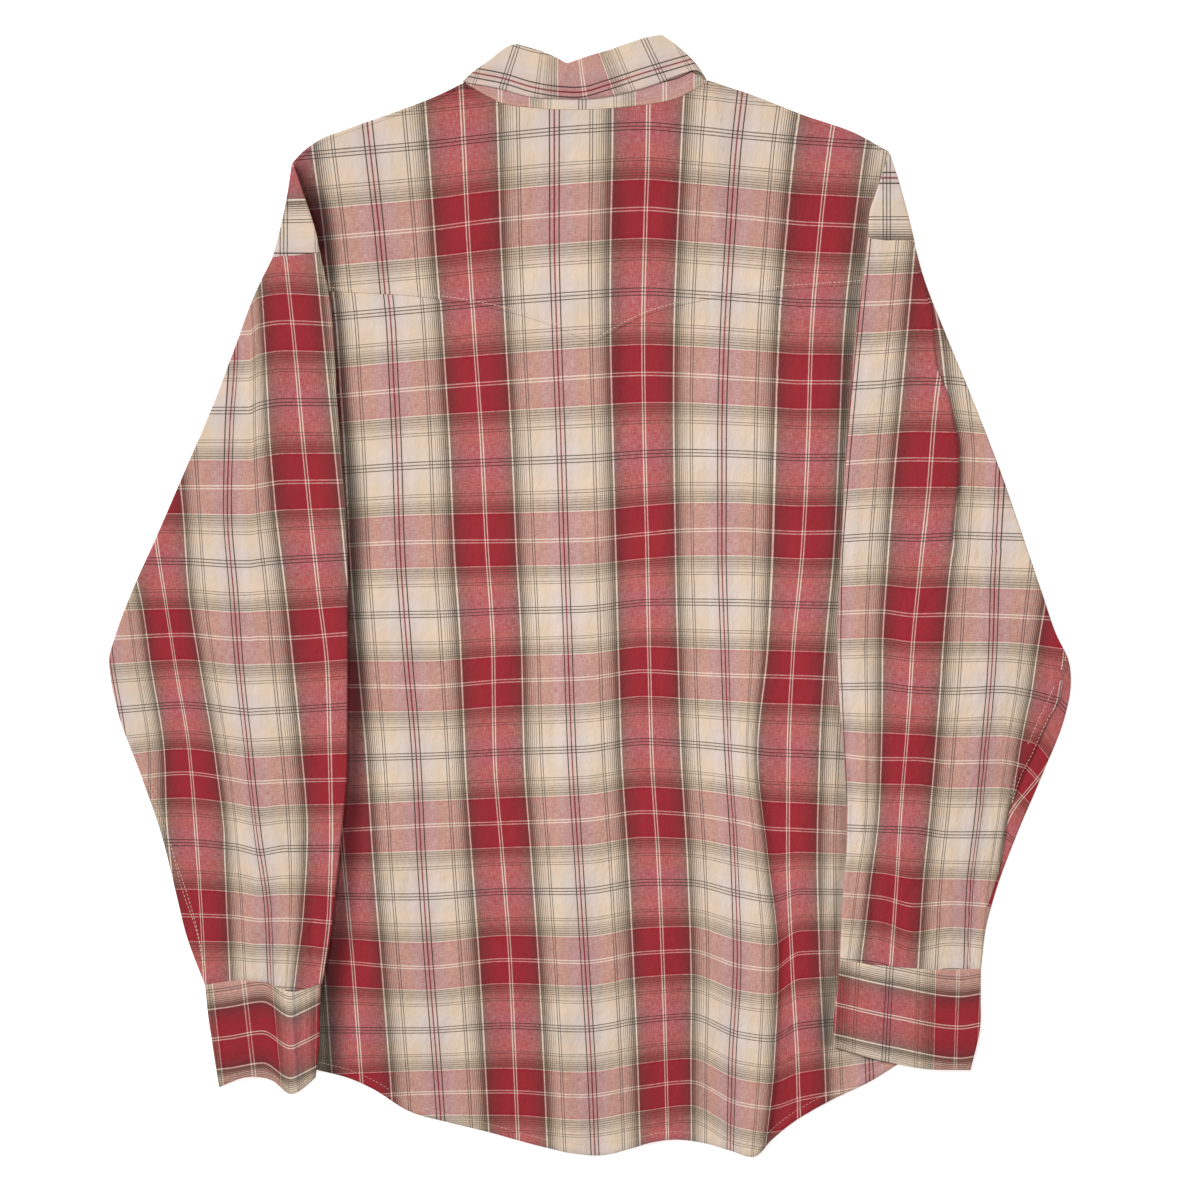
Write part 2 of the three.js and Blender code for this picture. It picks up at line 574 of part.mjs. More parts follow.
// A cuff: a stiffer flat tube lying on the body's hem corner
const CUFF_SHARES = [0.02, 0.15, 0.3, 0.45, 0.6, 0.68, 0.75, 0.82, 0.9, 0.98];
const CUFF_WALL = 1.4;
const CUFF_HIGH = 6.6;
const CUFF_SAG_GROWTH = 0.8;
function cuffPiece(side, table, sag, folds) {
  const rows = table.map((row, i) => {
    const grow = 1 + CUFF_SAG_GROWTH * i / (table.length - 1);
    const place = (share, trim) => {
      const x = mix(row.outX, row.inX, share);
      const y = mix(row.outY, row.inY, share) + grow * sagAt(sag, share);
      const high = CUFF_HIGH + foldRise(folds, x, y) - trim;
      return { x, y, low: ON_BODY + trim, wall: CUFF_WALL, high };
    };
    return [place(0, CLOTH / 2), ...CUFF_SHARES.map((share) => place(share, 0)), place(1, CLOTH / 2)];
  });
  return flatTube(side.sign < 0 ? rows : rows.map(reversed));
}
function cuffSnaps(name, table) {
  const first = table[1];
  const last = table[2];
  return Array.from({ length: CUFF_SNAPS.count }, (_, i) => ({
    name: `cuff_snap_${name}_${i + 1}`,
    x: mix(first.outX, first.inX, 0.24),
    y: (first.outY + last.outY) / 2 + (0.5 - i) * CUFF_SNAPS.pitch,
    z: ON_BODY,
  }));
}

// Collar: the stand and the fall each run round the flattened neck, back half above front half,
// and turn over at the two ends
const FALL_LOW = 3 * LAYER;
const FALL_BULGE = 1.4;
const FALL_DEPTH = 44;
const FALL_HALF = 110;
const bulge = (x, y) => (
  FALL_BULGE * Math.sin(Math.PI * ramp(y - 380, FALL_DEPTH)) * (1 - (x / FALL_HALF) ** 2)
);
const fallCloth = laidCloth(
  gridLines([-FALL_HALF, FALL_HALF], [], 11),
  gridLines([370, 440], [], 9),
  (x, y) => FALL_LOW + bulge(x, y),
);
const FALL_ENDS = {
  left: [...COLLAR_TOP.slice(0, 5)],
  right: reversed(COLLAR_TOP.slice(12)),
};
const RIM_FROM = {
  left: at(-91.6, 401.6),
  right: at(85, 403.9),
};

// A wing: the fall's front half on one side, under the neck, down to its collar point
const WING_TOP = 346;
const WING_PARTING = 1.5;
const WING_BEND = at(44, 372);
const WING_EDGE = at(72, 330);
function wing(sign, end, rimFrom) {
  const crest = end[end.length - 1];
  const fold = new THREE.QuadraticBezierCurve(
    crest,
    at(FRONT_CENTRE + sign * WING_BEND.x, WING_BEND.y),
    at(FRONT_CENTRE + sign * WING_PARTING, WING_TOP),
  );
  const outline = [
    ...end,
    ...fold.getPoints(6).slice(1),
    at(FRONT_CENTRE + sign * WING_TIP.out, WING_TIP.y),
    at(FRONT_CENTRE + sign * WING_EDGE.x, WING_EDGE.y),
  ];
  const rimPath = [rimFrom, ...end.slice(sign < 0 ? 2 : 1)];
  const rimStrip = strip(sign < 0 ? reversed(rimPath) : rimPath, RIM);
  return prism(outline, 0, CLOTH).add(prism(rimStrip, TUCK, FALL_LOW + CLOTH - TUCK));
}
const collarFall = fallCloth
  .intersect(prism([...FALL_EDGE, ...reversed(COLLAR_TOP)]))
  .add(wing(-1, FALL_ENDS.left, RIM_FROM.left))
  .add(wing(1, FALL_ENDS.right, RIM_FROM.right));

// The stand: a curved band in front, a strip up inside the fall at the back, and its two ends
const STAND_END = { low: NECK_HALF - 1, lowY: NECK_Y + 0.3, high: 71, highY: 412 };
const STAND_TOP = [
  at(-60, 419), at(-46, 416.5), at(-18, 404.5), at(0, 410), at(30, 420), at(46, 424.5), at(56, 424),
];
const standEnd = (sign) => [
  at(FRONT_CENTRE + sign * STAND_END.low, STAND_END.lowY),
  at(FRONT_CENTRE + sign * STAND_END.high, STAND_END.highY),
];
const standCurve = Array.from({ length: 15 }, (_, i) => {
  const angle = Math.PI * i / 14;
  const drop = STAND_END.highY - (NECK_Y - NECK_DROP) - STAND_HEIGHT;
  return at(
    FRONT_CENTRE + STAND_END.high * Math.cos(angle),
    STAND_END.highY - drop * Math.sin(angle),
  );
});
const standFront = prism([...neckCurve(-HALF_GAP), ...standCurve], LAYER, LAYER + CLOTH);
const standBack = prism([
  standEnd(-1)[0],
  ...shifted(NECK_SEAM, 0, GAP).slice(1, -1),
  ...standEnd(1),
  ...reversed(STAND_TOP),
  standEnd(-1)[1],
], 2 * LAYER, 2 * LAYER + CLOTH);
const collarStand = standFront
  .add(standBack)
  .add(prism(strip(reversed(standEnd(-1)), RIM), LAYER + TUCK, 2 * LAYER + CLOTH - TUCK))
  .add(prism(strip(standEnd(1), RIM), LAYER + TUCK, 2 * LAYER + CLOTH - TUCK));

// Sleeves and cuffs, with the cuffs' hidden snaps in the wall that faces the body
const sleeves = {};
const cuffs = {};
const hiddenSnaps = {};
for (const name of ['left', 'right']) {
  const side = SIDES[name];
  sleeves[name] = sleevePiece(side, SLEEVES[name], CUFF_SAG[name], SLEEVE_FOLDS[name]);
  hiddenSnaps[name] = cuffSnaps(name, CUFFS[name]);
  const tube = solid(cuffPiece(side, CUFFS[name], CUFF_SAG[name], CUFF_FOLDS[name]));
  cuffs[name] = hiddenSnaps[name].reduce((cuff, snap) => cuff.subtract(snapHole(snap)), tube);
}

// The finished shirt: one named mesh for each piece
const cloth = (color) => new THREE.MeshStandardMaterial({ color, roughness: 0.9, metalness: 0 });
const CLOTHS = {
  front: cloth('#a8545a'),
  back: cloth('#b9837d'),
  yoke: cloth('#c59f92'),
  sleeve: cloth('#a9474e'),
  cuff: cloth('#8f3a42'),
  collar: cloth('#cdb3a3'),
};
const PEARL = new THREE.MeshStandardMaterial({ color: '#e9e4da', roughness: 0.25, metalness: 0 });

function toGeometry(piece) {
  const mesh = piece.getMesh();
  const geometry = new THREE.BufferGeometry();
  const stride = mesh.numProp;
  const points = new Float32Array(mesh.vertProperties.length / stride * 3);
  for (let i = 0; i * 3 < points.length; i += 1) {
    points.set(mesh.vertProperties.subarray(i * stride, i * stride + 3), i * 3);
  }
  geometry.setAttribute('position', new THREE.BufferAttribute(points, 3));
  geometry.setIndex(new THREE.BufferAttribute(new Uint32Array(mesh.triVerts), 1));
  geometry.computeVertexNormals();
  return geometry;
}

const group = new THREE.Group();
function addPiece(name, geometry, material) {
  const mesh = new THREE.Mesh(geometry, material);
  mesh.name = name;
  group.add(mesh);
}
addPiece('front_left', toGeometry(frontLeft), CLOTHS.front);
addPiece('front_right', toGeometry(frontRight), CLOTHS.front);
addPiece('front_placket', toGeometry(placket), CLOTHS.front);
addPiece('back_yoke', toGeometry(backYoke), CLOTHS.yoke);
addPiece('back_panel', toGeometry(backPanel), CLOTHS.back);
addPiece('collar_stand', toGeometry(collarStand), CLOTHS.collar);
addPiece('collar_fall', toGeometry(collarFall), CLOTHS.collar);
for (const name of ['left', 'right']) {
  addPiece(`sleeve_${name}`, sleeves[name], CLOTHS.sleeve);
  addPiece(`cuff_${name}`, toGeometry(cuffs[name]), CLOTHS.cuff);
}
for (const snap of [...frontSnaps, ...hiddenSnaps.left, ...hiddenSnaps.right]) {
  addPiece(snap.name, snapCap(snap), PEARL);
}

export default group;
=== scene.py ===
"""A snap shirt in a red, cream and grey check, laid face down with its sleeves folded over the back.

Lengths in the tables are millimetres in the shirt's own frame: X across, Y from hem to collar, Z up.
"""

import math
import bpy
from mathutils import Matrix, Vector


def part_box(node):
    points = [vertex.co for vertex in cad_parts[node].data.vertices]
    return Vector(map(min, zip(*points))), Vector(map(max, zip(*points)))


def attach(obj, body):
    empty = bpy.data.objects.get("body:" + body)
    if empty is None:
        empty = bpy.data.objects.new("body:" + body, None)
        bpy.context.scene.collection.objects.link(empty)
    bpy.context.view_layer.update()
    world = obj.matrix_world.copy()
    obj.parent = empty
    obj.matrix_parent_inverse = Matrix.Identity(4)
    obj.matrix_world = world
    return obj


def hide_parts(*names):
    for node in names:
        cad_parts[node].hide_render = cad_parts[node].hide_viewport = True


bl_info = {
    "name": "Laid snap shirt",
    "version": (1, 0, 0),
    "blender": (4, 5, 0),
    "location": "3D View > Sidebar > Shirt",
    "description": "Builds a checked snap shirt lying face down",
    "category": "Object",
}

import bpy
import numpy as np

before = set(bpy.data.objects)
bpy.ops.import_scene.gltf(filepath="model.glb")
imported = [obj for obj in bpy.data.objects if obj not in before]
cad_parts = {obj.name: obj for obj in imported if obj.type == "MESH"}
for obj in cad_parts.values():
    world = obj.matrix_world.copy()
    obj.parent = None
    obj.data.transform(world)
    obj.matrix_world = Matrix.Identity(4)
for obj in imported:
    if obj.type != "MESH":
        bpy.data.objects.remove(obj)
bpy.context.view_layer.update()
MM = 0.001

# Places of the layers above the surface, as in the frame
LAYER = 1.5
BODY_TOP = 2.7
ON_BODY = 3.0
FRONT_CENTRE = -1.0
ARMPIT_Y = 43.5
NECK_HALF, NECK_DROP, NECK_Y = 88.5, 88.0, 398.0

# Outlines, each from the wearer's left to the right
NECK_SEAM = [
    (-96, 395.6), (-77, 384.6), (-65.5, 379.6), (-46.2, 376.9), (0, 375.4), (30.8, 377.7),
    (53.9, 380.8), (69.3, 384.9), (77, 388.8), (84.7, 393), (90.5, 397),
]
SHOULDER_LEFT = [
    (-228.7, 333.8), (-223.3, 340), (-207.9, 351.5), (-188.7, 359.2), (-155.5, 370.8),
    (-115.5, 386.2), (-96, 395.6),
]
SHOULDER_RIGHT = [
    (90.5, 397), (124, 386.2), (163.2, 370.8), (206.4, 355.4), (223.3, 346.1), (230.2, 342.3),
]
YOKE_SEAM_LEFT = [
    (-238, 237.4), (-200, 235), (-123, 229.7), (-65.5, 219.6), (-30.8, 208.9), (2.3, 194.2),
]
YOKE_SEAM_RIGHT = [(2.3, 194.2), (38.5, 214.3), (84.7, 227.3), (131, 234.3), (200, 239.7), (244, 242.5)]
HEM = [
    (-283.4, -310.7), (-273, -334), (-254, -349), (-231, -360), (-209.4, -365), (-184.8, -371.5),
    (-169, -378.5), (-138.6, -397), (-108, -405.4), (-77, -413), (-46, -421.6), (-15, -428.5),
    (7.7, -430.4), (31, -425.4), (46, -420.8), (61.6, -418.5), (92.4, -422.3), (108, -427),
    (127, -431.6), (138.6, -420), (154, -407), (185, -388.5), (215.6, -373.8), (239.5, -359),
    (262, -345), (277, -332), (286.4, -310.7),
]
SIDE_LEFT = [(-283.4, -310.7), (-308, ARMPIT_Y)]
SIDE_RIGHT = [(286.4, -310.7), (308, ARMPIT_Y)]
ARMHOLE_LEFT = [(-308, ARMPIT_Y), (-258, 150), (-238, 237.4)]
ARMHOLE_RIGHT = [(308, ARMPIT_Y), (262, 160), (244, 242.5)]
YOKE_END_LEFT = [(-238, 237.4), (-243, 262), (-236, 286), (-231.5, 308), (-228.7, 333.8)]
YOKE_END_RIGHT = [(244, 242.5), (248, 275), (243, 294), (237, 317), (230.2, 342.3)]
COLLAR_TOP = [
    (-97, 396.2), (-91.6, 401.6), (-77, 412.3), (-61.6, 423.1), (-56.2, 424.3), (-46.2, 421.6),
    (-30.8, 416.2), (-17.7, 409.3), (0, 415.4), (15.4, 420), (30.8, 425.4), (46.2, 430),
    (54.7, 431.6), (61.6, 427), (77, 413.9), (89.3, 398.5),
]
FALL_EDGE = [
    (-95.5, 395.6), (-69.3, 390.8), (-46.2, 384.6), (-23.1, 383.1), (7.7, 383.8), (30.8, 388.5),
    (53.9, 395.6), (65.5, 400.2), (73.2, 403), (82, 405), (87.6, 401.5),
]

# The outer part of each front, turned over the shoulder with its sleeve
FLAPS = {
    "left": {
        "sign": -1,
        "fold": [(-244.9, 259.2), (-237.9, 286.1), (-233.3, 308), (-229.2, 333.2)],
        "seam": [(-244.9, 259.2), (-236.4, 260.6), (-223.3, 262.8), (-207.9, 265)],
        "inner": [(-207.9, 265), (-210.2, 278.4), (-214.8, 293.8), (-219.5, 307.6), (-228, 332)],
    },
    "right": {
        "sign": 1,
        "fold": [(250.2, 271), (244.9, 293.8), (238.7, 316.9), (231, 341)],
        "seam": [(250.2, 271), (244.9, 272), (230, 273.8), (214.1, 275.6)],
        "inner": [(214.1, 275.6), (215.6, 297.6), (219.5, 309.2), (224.8, 324.6), (230, 340)],
    },
}

# Sleeves from head to cuff: outer edge, inner edge, and height of the outer edge
SLEEVES = {
    "left": [
        (-244.6, 260.9, -207.9, 266.6, 6.0), (-258.7, 232, -200.7, 232, 6.2),
        (-274.2, 190, -196.7, 190, 6.4), (-289.6, 150, -194.6, 150, 6.4),
        (-312, 97, -190.4, 97, 6.2), (-335.1, 43.5, -186.9, 43.5, 6.0),
        (-354.2, 1, -186.3, 1, 5.6), (-365.8, -30, -186.3, -30, 5.0),
        (-370.6, -48, -186.4, -48, 4.4), (-369.8, -61, -186.5, -61, 4.0),
        (-363.4, -91, -186.7, -91, 3.6), (-346.5, -137, -187, -137, 3.4),
        (-330.3, -184, -191.3, -184, 3.4), (-318.8, -230, -196, -230, 3.4),
        (-311.1, -261, -199.5, -261, 3.8), (-296.4, -299.3, -206.4, -298.3, 6.0),
    ],
    "right": [
        (249.5, 273.4, 214.1, 277.4, 6.0), (255.7, 250, 211, 250, 6.2),
        (276.6, 196, 204, 196, 6.4), (291.5, 160, 201, 160, 6.4),
        (314.5, 101, 196.7, 101, 6.2), (334.5, 43.5, 193.9, 43.5, 6.0),
        (348.8, 1, 191.6, 1, 5.6), (359.6, -30, 190.8, -30, 5.0),
        (368.4, -48, 190.4, -48, 4.4), (370.6, -68, 191.1, -68, 4.0),
        (366.5, -91, 192.6, -91, 3.6), (348.8, -137, 196.6, -137, 3.4),
        (328.8, -184, 197.9, -184, 3.4), (311.9, -230, 194.8, -230, 3.6),
        (305, -256, 193.3, -256, 4.2), (301.1, -287.2, 192.5, -280.8, 6.0),
    ],
}
CUFFS = {
    "left": [
        (-296.4, -298.7, -207, -297.7, 6.6), (-294, -322, -207.7, -322, 6.6),
        (-290.5, -346, -208.5, -346, 6.6), (-285.7, -377.5, -211, -370, 6.6),
    ],
    "right": [
        (301.1, -286.4, 192.1, -280, 6.6), (300.7, -309, 190, -304.5, 6.6),
        (300.2, -333, 187.6, -327.6, 6.6), (293, -364.5, 187.9, -346.9, 6.6),
    ],
}
# How the seam between sleeve and cuff wanders from straight: share of the way in, and how far
CUFF_SAG = {
    "left": ((0, 0.3, 0.55, 0.75, 0.86, 1), (0, 3, 0.5, -6, -4.5, 0)),
    "right": ((0, 0.35, 0.7, 1), (0, -2.8, -2, 0)),
}
SAG_REACH = 45.0                 # how far up the sleeve the seam's wander fades
CUFF_SAG_GROWTH = 0.8            # and how much it grows down the cuff

# Charts of the check as it lies. Across: the heights at which stripes are read, then each warp
# stripe's count and its X at those heights. Along: the same for weft bands, with X first and then Y.
BACK_CHART = {
    "across": (
        (385, 345, 280, 200, 120, 40, -40, -120, -200, -280, -360, -430),
        [
            (-2, (-245, -241, -231, -221, -214, -209, -203, -196, -190, -183, -177, -172)),
            (-1, (-174, -169.5, -162, -153.5, -149, -146.5, -141, -134, -130, -124.5, -118, -113)),
            (0, (-99, -97, -94, -89, -83.5, -79.5, -74.5, -73.5, -67.5, -61.5, -58, -55)),
            (1, (-27.5, -27.5, -27.5, -25.5, -22.5, -20, -17, -14, -9, -4, 1, 4)),
            (2, (45, 44.5, 42.5, 41, 42, 44, 45.5, 47.5, 52.5, 56, 58.5, 60)),
            (3, (117, 112.5, 108, 103.5, 101.5, 101.5, 104, 107, 111.5, 113.5, 109.5, 108)),
            # The edge of the lapped fold at the lower right, and the count that comes out from under it
            (3.62, (163, 157, 151, 145, 142.5, 140.5, 136.5, 129, 137, 145, 142, 135)),
            (
                (3.62, 3.62, 3.62, 3.62, 3.62, 3.62, 3.62, 3.63, 3.76, 3.83, 3.73, 3.66),
                (163.5, 157.5, 151.5, 145.5, 143, 141, 137, 129.5, 137.5, 145.5, 142.5, 135.5),
            ),
            (4, (191, 184.5, 177, 170.5, 168, 164, 156.5, 153, 152.5, 155.5, 160, 162)),
            (5, (262, 256, 246, 236, 231, 228, 222, 216, 212, 212, 215, 218)),
        ],
    ),
    "along": (
        (-189, -127, -65.5, -4, 42, 77, 115, 140, 162, 196),
        [
            (-2, (407, 412.5, 418.5, 424.5, 426, 423.5, 419, 417, 415.5, 412.5)),
            (0, (277.5, 283, 290.5, 295.5, 298.5, 295.5, 292.5, 290, 287.5, 286)),
            (2, (155, 160.5, 165, 169, 171.5, 170.5, 168, 166.5, 165, 165)),
            (4, (39.5, 42, 42.5, 43.5, 48, 51, 51.5, 50, 49, 49.5)),
            (6, (-69, -69.5, -65, -63, -57.5, -59.5, -61, -61.5, -62, -63.5)),
            (8, (-180, -176.5, -174.5, -172, -166, -168, -173.5, -179, -180, -182)),
            (10, (-282, -286, -280, -281.5, -274.5, -273, -284.5, -287, -274.5, -273.5)),
            (12, (-386, -382.5, -381.5, -384.5, -377.5, -374, -390.5, -393.5, -387, -381)),
        ],
    ),
}
FOLD_LINE = 6                    # the lapped fold's edge among the warp stripes above
SLEEVE_CHARTS = {
    "left": {
        "across": (
            (251, 190, 128, 67, 5, -57, -118, -180, -241, -295),
            [
                (-0.38, (-210, -204, -198, -192, -186, -178, -170.5, -169, -172, -180)),
                (0, (-233.5, -227, -221.5, -215.5, -209, -202, -200.5, -199.5, -201, -207)),
                (0.38, (-253.5, -250, -247, -242, -234.5, -228, -222, -217.5, -220.5, -227)),
                (1, (-278, -273, -277, -279, -274.5, -270, -263.5, -256.5, -247.5, -245)),
                (1.62, (-336, -328.5, -320.5, -313, -309, -299.5, -289, -281.5, -279.5, -277)),
                (2, (-375, -362.5, -350.5, -338, -328, -318.5, -308.5, -303.5, -299.5, -296.5)),
            ],
        ),
        "along": (
            (-358, -312, -273, -262, -255, -235, -189),
            [
                (0, (202, 202, 202.5, 203, 208, 211, 209)),
                (1, (143, 143, 143, 143, 146.5, 149.5, 149.5)),
                (2, (84, 84, 84, 84, 85, 88, 88.5)),
                (3, (27.5, 27, 25, 25, 26, 28, 30.5)),
                (4, (-31.5, -29.5, -32.5, -32.5, -32, -32, -29)),
                (5, (-87, -83.5, -88, -89, -88.5, -87.5, -84.5)),
                (6, (-140.5, -136, -141, -143, -143, -142, -141)),
                (7, (-190.5, -189.5, -192.5, -195, -197, -194, -193.5)),
                (8, (-245.5, -245.5, -246.5, -248, -249, -248.5, -251.5)),
            ],
        ),
    },
    "right": {
        "across": (
            (267, 205, 144, 82, 20, -41, -75, -103, -164, -226, -284),
            [
                (-1, (212, 206, 200, 194.8, 190.6, 190, 191.2, 192.5, 195.5, 187, 181.5)),
                (-0.38, (249.5, 244, 238.5, 233, 228.5, 225, 224.8, 224.5, 222.5, 215, 208)),
                (0, (282.5, 273.5, 265.5, 260.5, 254, 248, 246, 244, 239, 235.5, 231.5)),
                (0.38, (310, 302, 293, 287, 277, 271.5, 269.3, 267, 262, 256, 252.5)),
                (1, (350, 340, 328, 318, 311.5, 310, 308, 305.5, 300, 293, 291)),
                (1.62, (395, 385, 375, 364.5, 354.5, 344.5, 339.5, 333.5, 324, 314.5, 306)),
                (2, (422, 413, 404, 393, 381, 366, 361.6, 353, 340, 328, 316)),
            ],
        ),
        "along": (
            (194, 223, 250, 277, 316, 340, 358),
            [
                (0, (225, 225.5, 227, 226, 221, 221, 221)),
                (1, (161.5, 163, 165.5, 165, 160, 160, 160)),
                (2, (102.5, 104.5, 105.5, 105, 103.5, 103.5, 103.5)),
                (3, (44.5, 46, 45, 46, 45, 44.5, 44.5)),
                (4, (-12.5, -11.5, -14.5, -14, -15, -16, -17)),
                (5, (-69.5, -69, -72, -73, -71.5, -75, -80)),
                (6, (-122.5, -125, -125, -127.5, -127, -133, -143)),
                (7, (-178, -179, -180, -183.5, -183.5, -190, -200)),
                (8, (-229.5, -231.5, -237.5, -236, -238.5, -240, -245)),
            ],
        ),
        "beyond": [
            {
                "edge": ((260, 248, 221, 178, 155, 132, 117, 90, 67, 36),
                         (251, 253.5, 262, 267, 275.7, 281, 284, 284, 281, 278)),
                "across": ((267, 205, 164, 105, 36), [
                    (0.37, (254, 268, 273, 283, 279)), (1, (318, 321, 318.5, 315.5, 312)),
                    (1.62, (395, 385, 378, 368, 357)),
                ]),
                "slip": 0.02, "lean": 0.0, "drop": 1.5,
            },
            {
                "edge": ((-52, -77, -88, -101, -112, -135, -152, -166, -194, -213, -237),
                         (365, 362.5, 357.2, 350.5, 346, 335, 328, 322.5, 318.8, 315, 306.5)),
                "across": ((-52, -110, -134, -149, -161, -171, -194, -213, -237), [
                    (1.7, (368, 342, 328, 316, 306, 300, 292, 287, 278)),
                    (2, (390, 364, 350, 338, 328, 322, 314, 309, 300)),
                    (2.3, (412, 386, 372, 360, 350, 344, 336, 331, 322)),
                ]),
                "slip": 0.0, "lean": 0.5, "drop": 1.1,
            },
        ],
    },
}
CUFF_CHARTS = {
    "left": {
        "across": ((-300, -375), [
            (-1, (-334, -326)), (0, (-266, -257.5)), (0.33, (-245, -238)), (0.62, (-236, -231)),
            (1.3, (-222, -219)), (1.7, (-208, -210)),
        ]),
        "along": ((-289.5, -277, -252, -230, -222, -207), [
            (-1, (-279, -277, -273, -284, -281, -274)),
            (0, (-340.7, -339.2, -335.3, -346.5, -343.5, -336)),
        ]),
    },
    "right": {
        "across": ((-281, -360), [(0, (169, 165)), (1, (231, 227)), (1.62, (265, 263.5)), (2, (283.5, 281))]),
        "along": ((190, 232, 285, 300), [
            (-1, (-252, -261, -269, -267)), (0, (-313.8, -323, -331.5, -329.2)),
        ]),
    },
}
# The turned part of each front is cut across, so its warp is counted up the shirt
FLAP_CHARTS = {
    "left": {"x": -235.6, "x_count": 1.0, "y": 260.3, "y_count": 1.0, "half": 72.0},
    "right": {"x": 228.3, "x_count": 1.0, "y": 322.2, "y_count": 1.0, "half": 79.0},
}
WARP_HALF = 72.0                 # half a repeat of the check across the warp
WEFT_HALF = 63.5                 # and along it

# Collar: the red line in the fall's cream stripe, and its weft bands at two heights
FALL_LINE = (
    (-87, -65.7, -44.3, -24.3, -4.4, 12.6, 41, 72.4, 88),
    (402.6, 398.3, 391.9, 388.6, 388.4, 393.3, 402.6, 411.9, 416.5),
)
FALL_BANDS = ((426, 392), [
    (-2, (-116, -124)), (-1, (-55.5, -67)), (-0.38, (-26, -26)), (0, (-9.5, -5)),
    (0.38, (5, 18)), (1, (43, 59)), (2, (100, 122)),
])

# Creases: ends, half-width, height (less than nothing is a trough), and lean of the crest
BACK_CREASES = [
    (-150, 215, -160, -385, 30, 1.0, 0), (-86, 150, -100, -410, 34, 0.9, 0.2),
    (-20, 110, -30, -425, 30, 1.0, -0.2), (38, 60, 48, -420, 28, 1.2, 0),
    (96, 150, 112, -200, 30, 0.9, 0.3), (166, 120, 172, -395, 20, 0.9, 0),
    (-122, -120, -126, -400, 12, -0.5, 0), (-58, -60, -52, -415, 11, -0.6, 0.2),
    (10, -100, 14, -428, 12, -0.6, 0), (76, -150, 88, -424, 12, -0.7, 0),
    (-172, 120, -176, -330, 9, -0.6, 0), (-176, 60, -170, -372, 6, 0.8, 0),
    (150, -220, 156, -400, 9, -0.8, 0), (30, -300, 44, -428, 16, 1.1, 0.3),
    (60, -392, 62, -425, 5, 0.6, 0), (112, -402, 118, -430, 4, -0.6, 0), (126, -398, 133, -430, 5, 0.8, 0),
    (142, -388, 151, -412, 4, -0.6, 0), (160, -376, 171, -404, 5, 0.7, 0), (-60, -385, -64, -418, 5, 0.5, 0),
    (-120, -370, -128, -402, 5, 0.5, 0), (-8, -395, -6, -430, 6, 0.6, 0),
    (-40, 330, -60, 240, 16, 0.25, 0), (90, 350, 70, 250, 18, 0.3, 0), (150, 300, 176, 120, 14, 0.35, 0),
]
SLEEVE_CREASES = {
    "left": [
        (-240, 230, -262, -280, 30, 1.0, 0), (-298, 120, -290, -260, 24, 0.9, 0.2),
        (-261, 225, -264, 130, 7, 0.9, 0.6), (-222, 150, -206, -120, 14, -0.5, 0),
        (-316, -40, -262, -130, 12, -0.5, 0), (-300, -150, -250, -292, 8, 0.9, 0.2),
        (-283, -120, -268, -290, 9, -0.7, 0), (-236, -190, -222, -296, 9, 0.8, 0),
        (-218, -200, -212, -290, 6, -0.6, 0), (-268, -262, -262, -298, 5, 0.8, 0),
        (-350, -40, -300, -20, 9, -0.4, 0), (-290, -262, -291, -299, 4, 0.8, 0),
        (-278, -255, -280, -299, 4, -0.7, 0), (-250, -262, -248, -299, 4, 0.8, 0),
        (-240, -250, -237, -299, 5, -0.8, 0), (-226, -258, -223, -299, 4, 0.8, 0),
        (-214, -240, -212, -299, 4, -0.6, 0), (-306, -200, -272, -262, 5, -0.6, 0),
        (-250, -150, -222, -232, 5, -0.6, 0), (-330, -90, -290, -150, 6, 0.5, 0),
    ],
    "right": [
        (236, 255, 262, 30, 20, 0.7, 0), (262, 30, 244, -270, 30, 1.0, 0),
        (318, 40, 288, -240, 22, 0.9, 0), (206, 200, 203, -70, 8, 0.6, 0),
        (212, -60, 208, -270, 6, 1.0, 0.3), (200, -70, 199, -190, 4, -0.8, 0),
        (224, 90, 222, -120, 7, -0.5, 0), (268, -120, 256, -280, 9, -0.7, 0),
        (300, 120, 282, 30, 8, 0.5, 0), (228, -180, 222, -282, 7, 0.7, 0),
        (322, -60, 300, -200, 9, -0.6, 0), (280, -210, 276, -284, 6, 0.6, 0),
        (210, -240, 208, -282, 4, 0.7, 0), (240, -245, 238, -284, 4, -0.7, 0),
        (268, -245, 265, -285, 4, 0.7, 0), (291, -250, 290, -288, 4, -0.6, 0),
        (230, -150, 252, -226, 5, -0.6, 0), (300, -170, 282, -232, 5, 0.6, 0),
    ],
}
CUFF_CREASES = {
    "left": [(-230, -280, -230, -400, 17, 2.2, 0.15), (-252, -296, -250, -390, 9, -0.5, 0),
             (-221, -286, -219, -392, 6, -1.5, 0)],
    "right": [(222, -262, 214, -380, 24, 0.9, 0), (262, -280, 262, -375, 10, -0.4, 0)],
}
# Lines down a sleeve that its points follow, from the outer edge in: heights, and X at each. Both lines
# of the right sleeve pass along the edges of lapped cloth.
SLEEVE_LINES = {
    "left": [((262, 228, 136, 40, -60, -180, -300), (-238, -259, -262.5, -262, -252, -240, -235))],
    "right": [
        ((275, 200, 100, 0, -52, -77, -88, -101, -112, -135, -152, -166, -194, -213, -237, -290),
         (252, 286, 318, 346, 365, 362.5, 357.2, 350.5, 346, 335, 328, 322.5, 318.8, 315, 306.5, 293)),
        ((275, 260, 248, 221, 178, 155, 132, 117, 90, 67, 36, -50, -160, -290),
         (246, 251, 253.5, 262, 267, 275.7, 281, 284, 284, 281, 278, 271, 262, 252)),
    ],
}
COLLAR_CREASES = [(-9, 411, -6, 392, 4, -0.7, 0), (-16, 412, -22, 396, 7, 0.5, 0)]
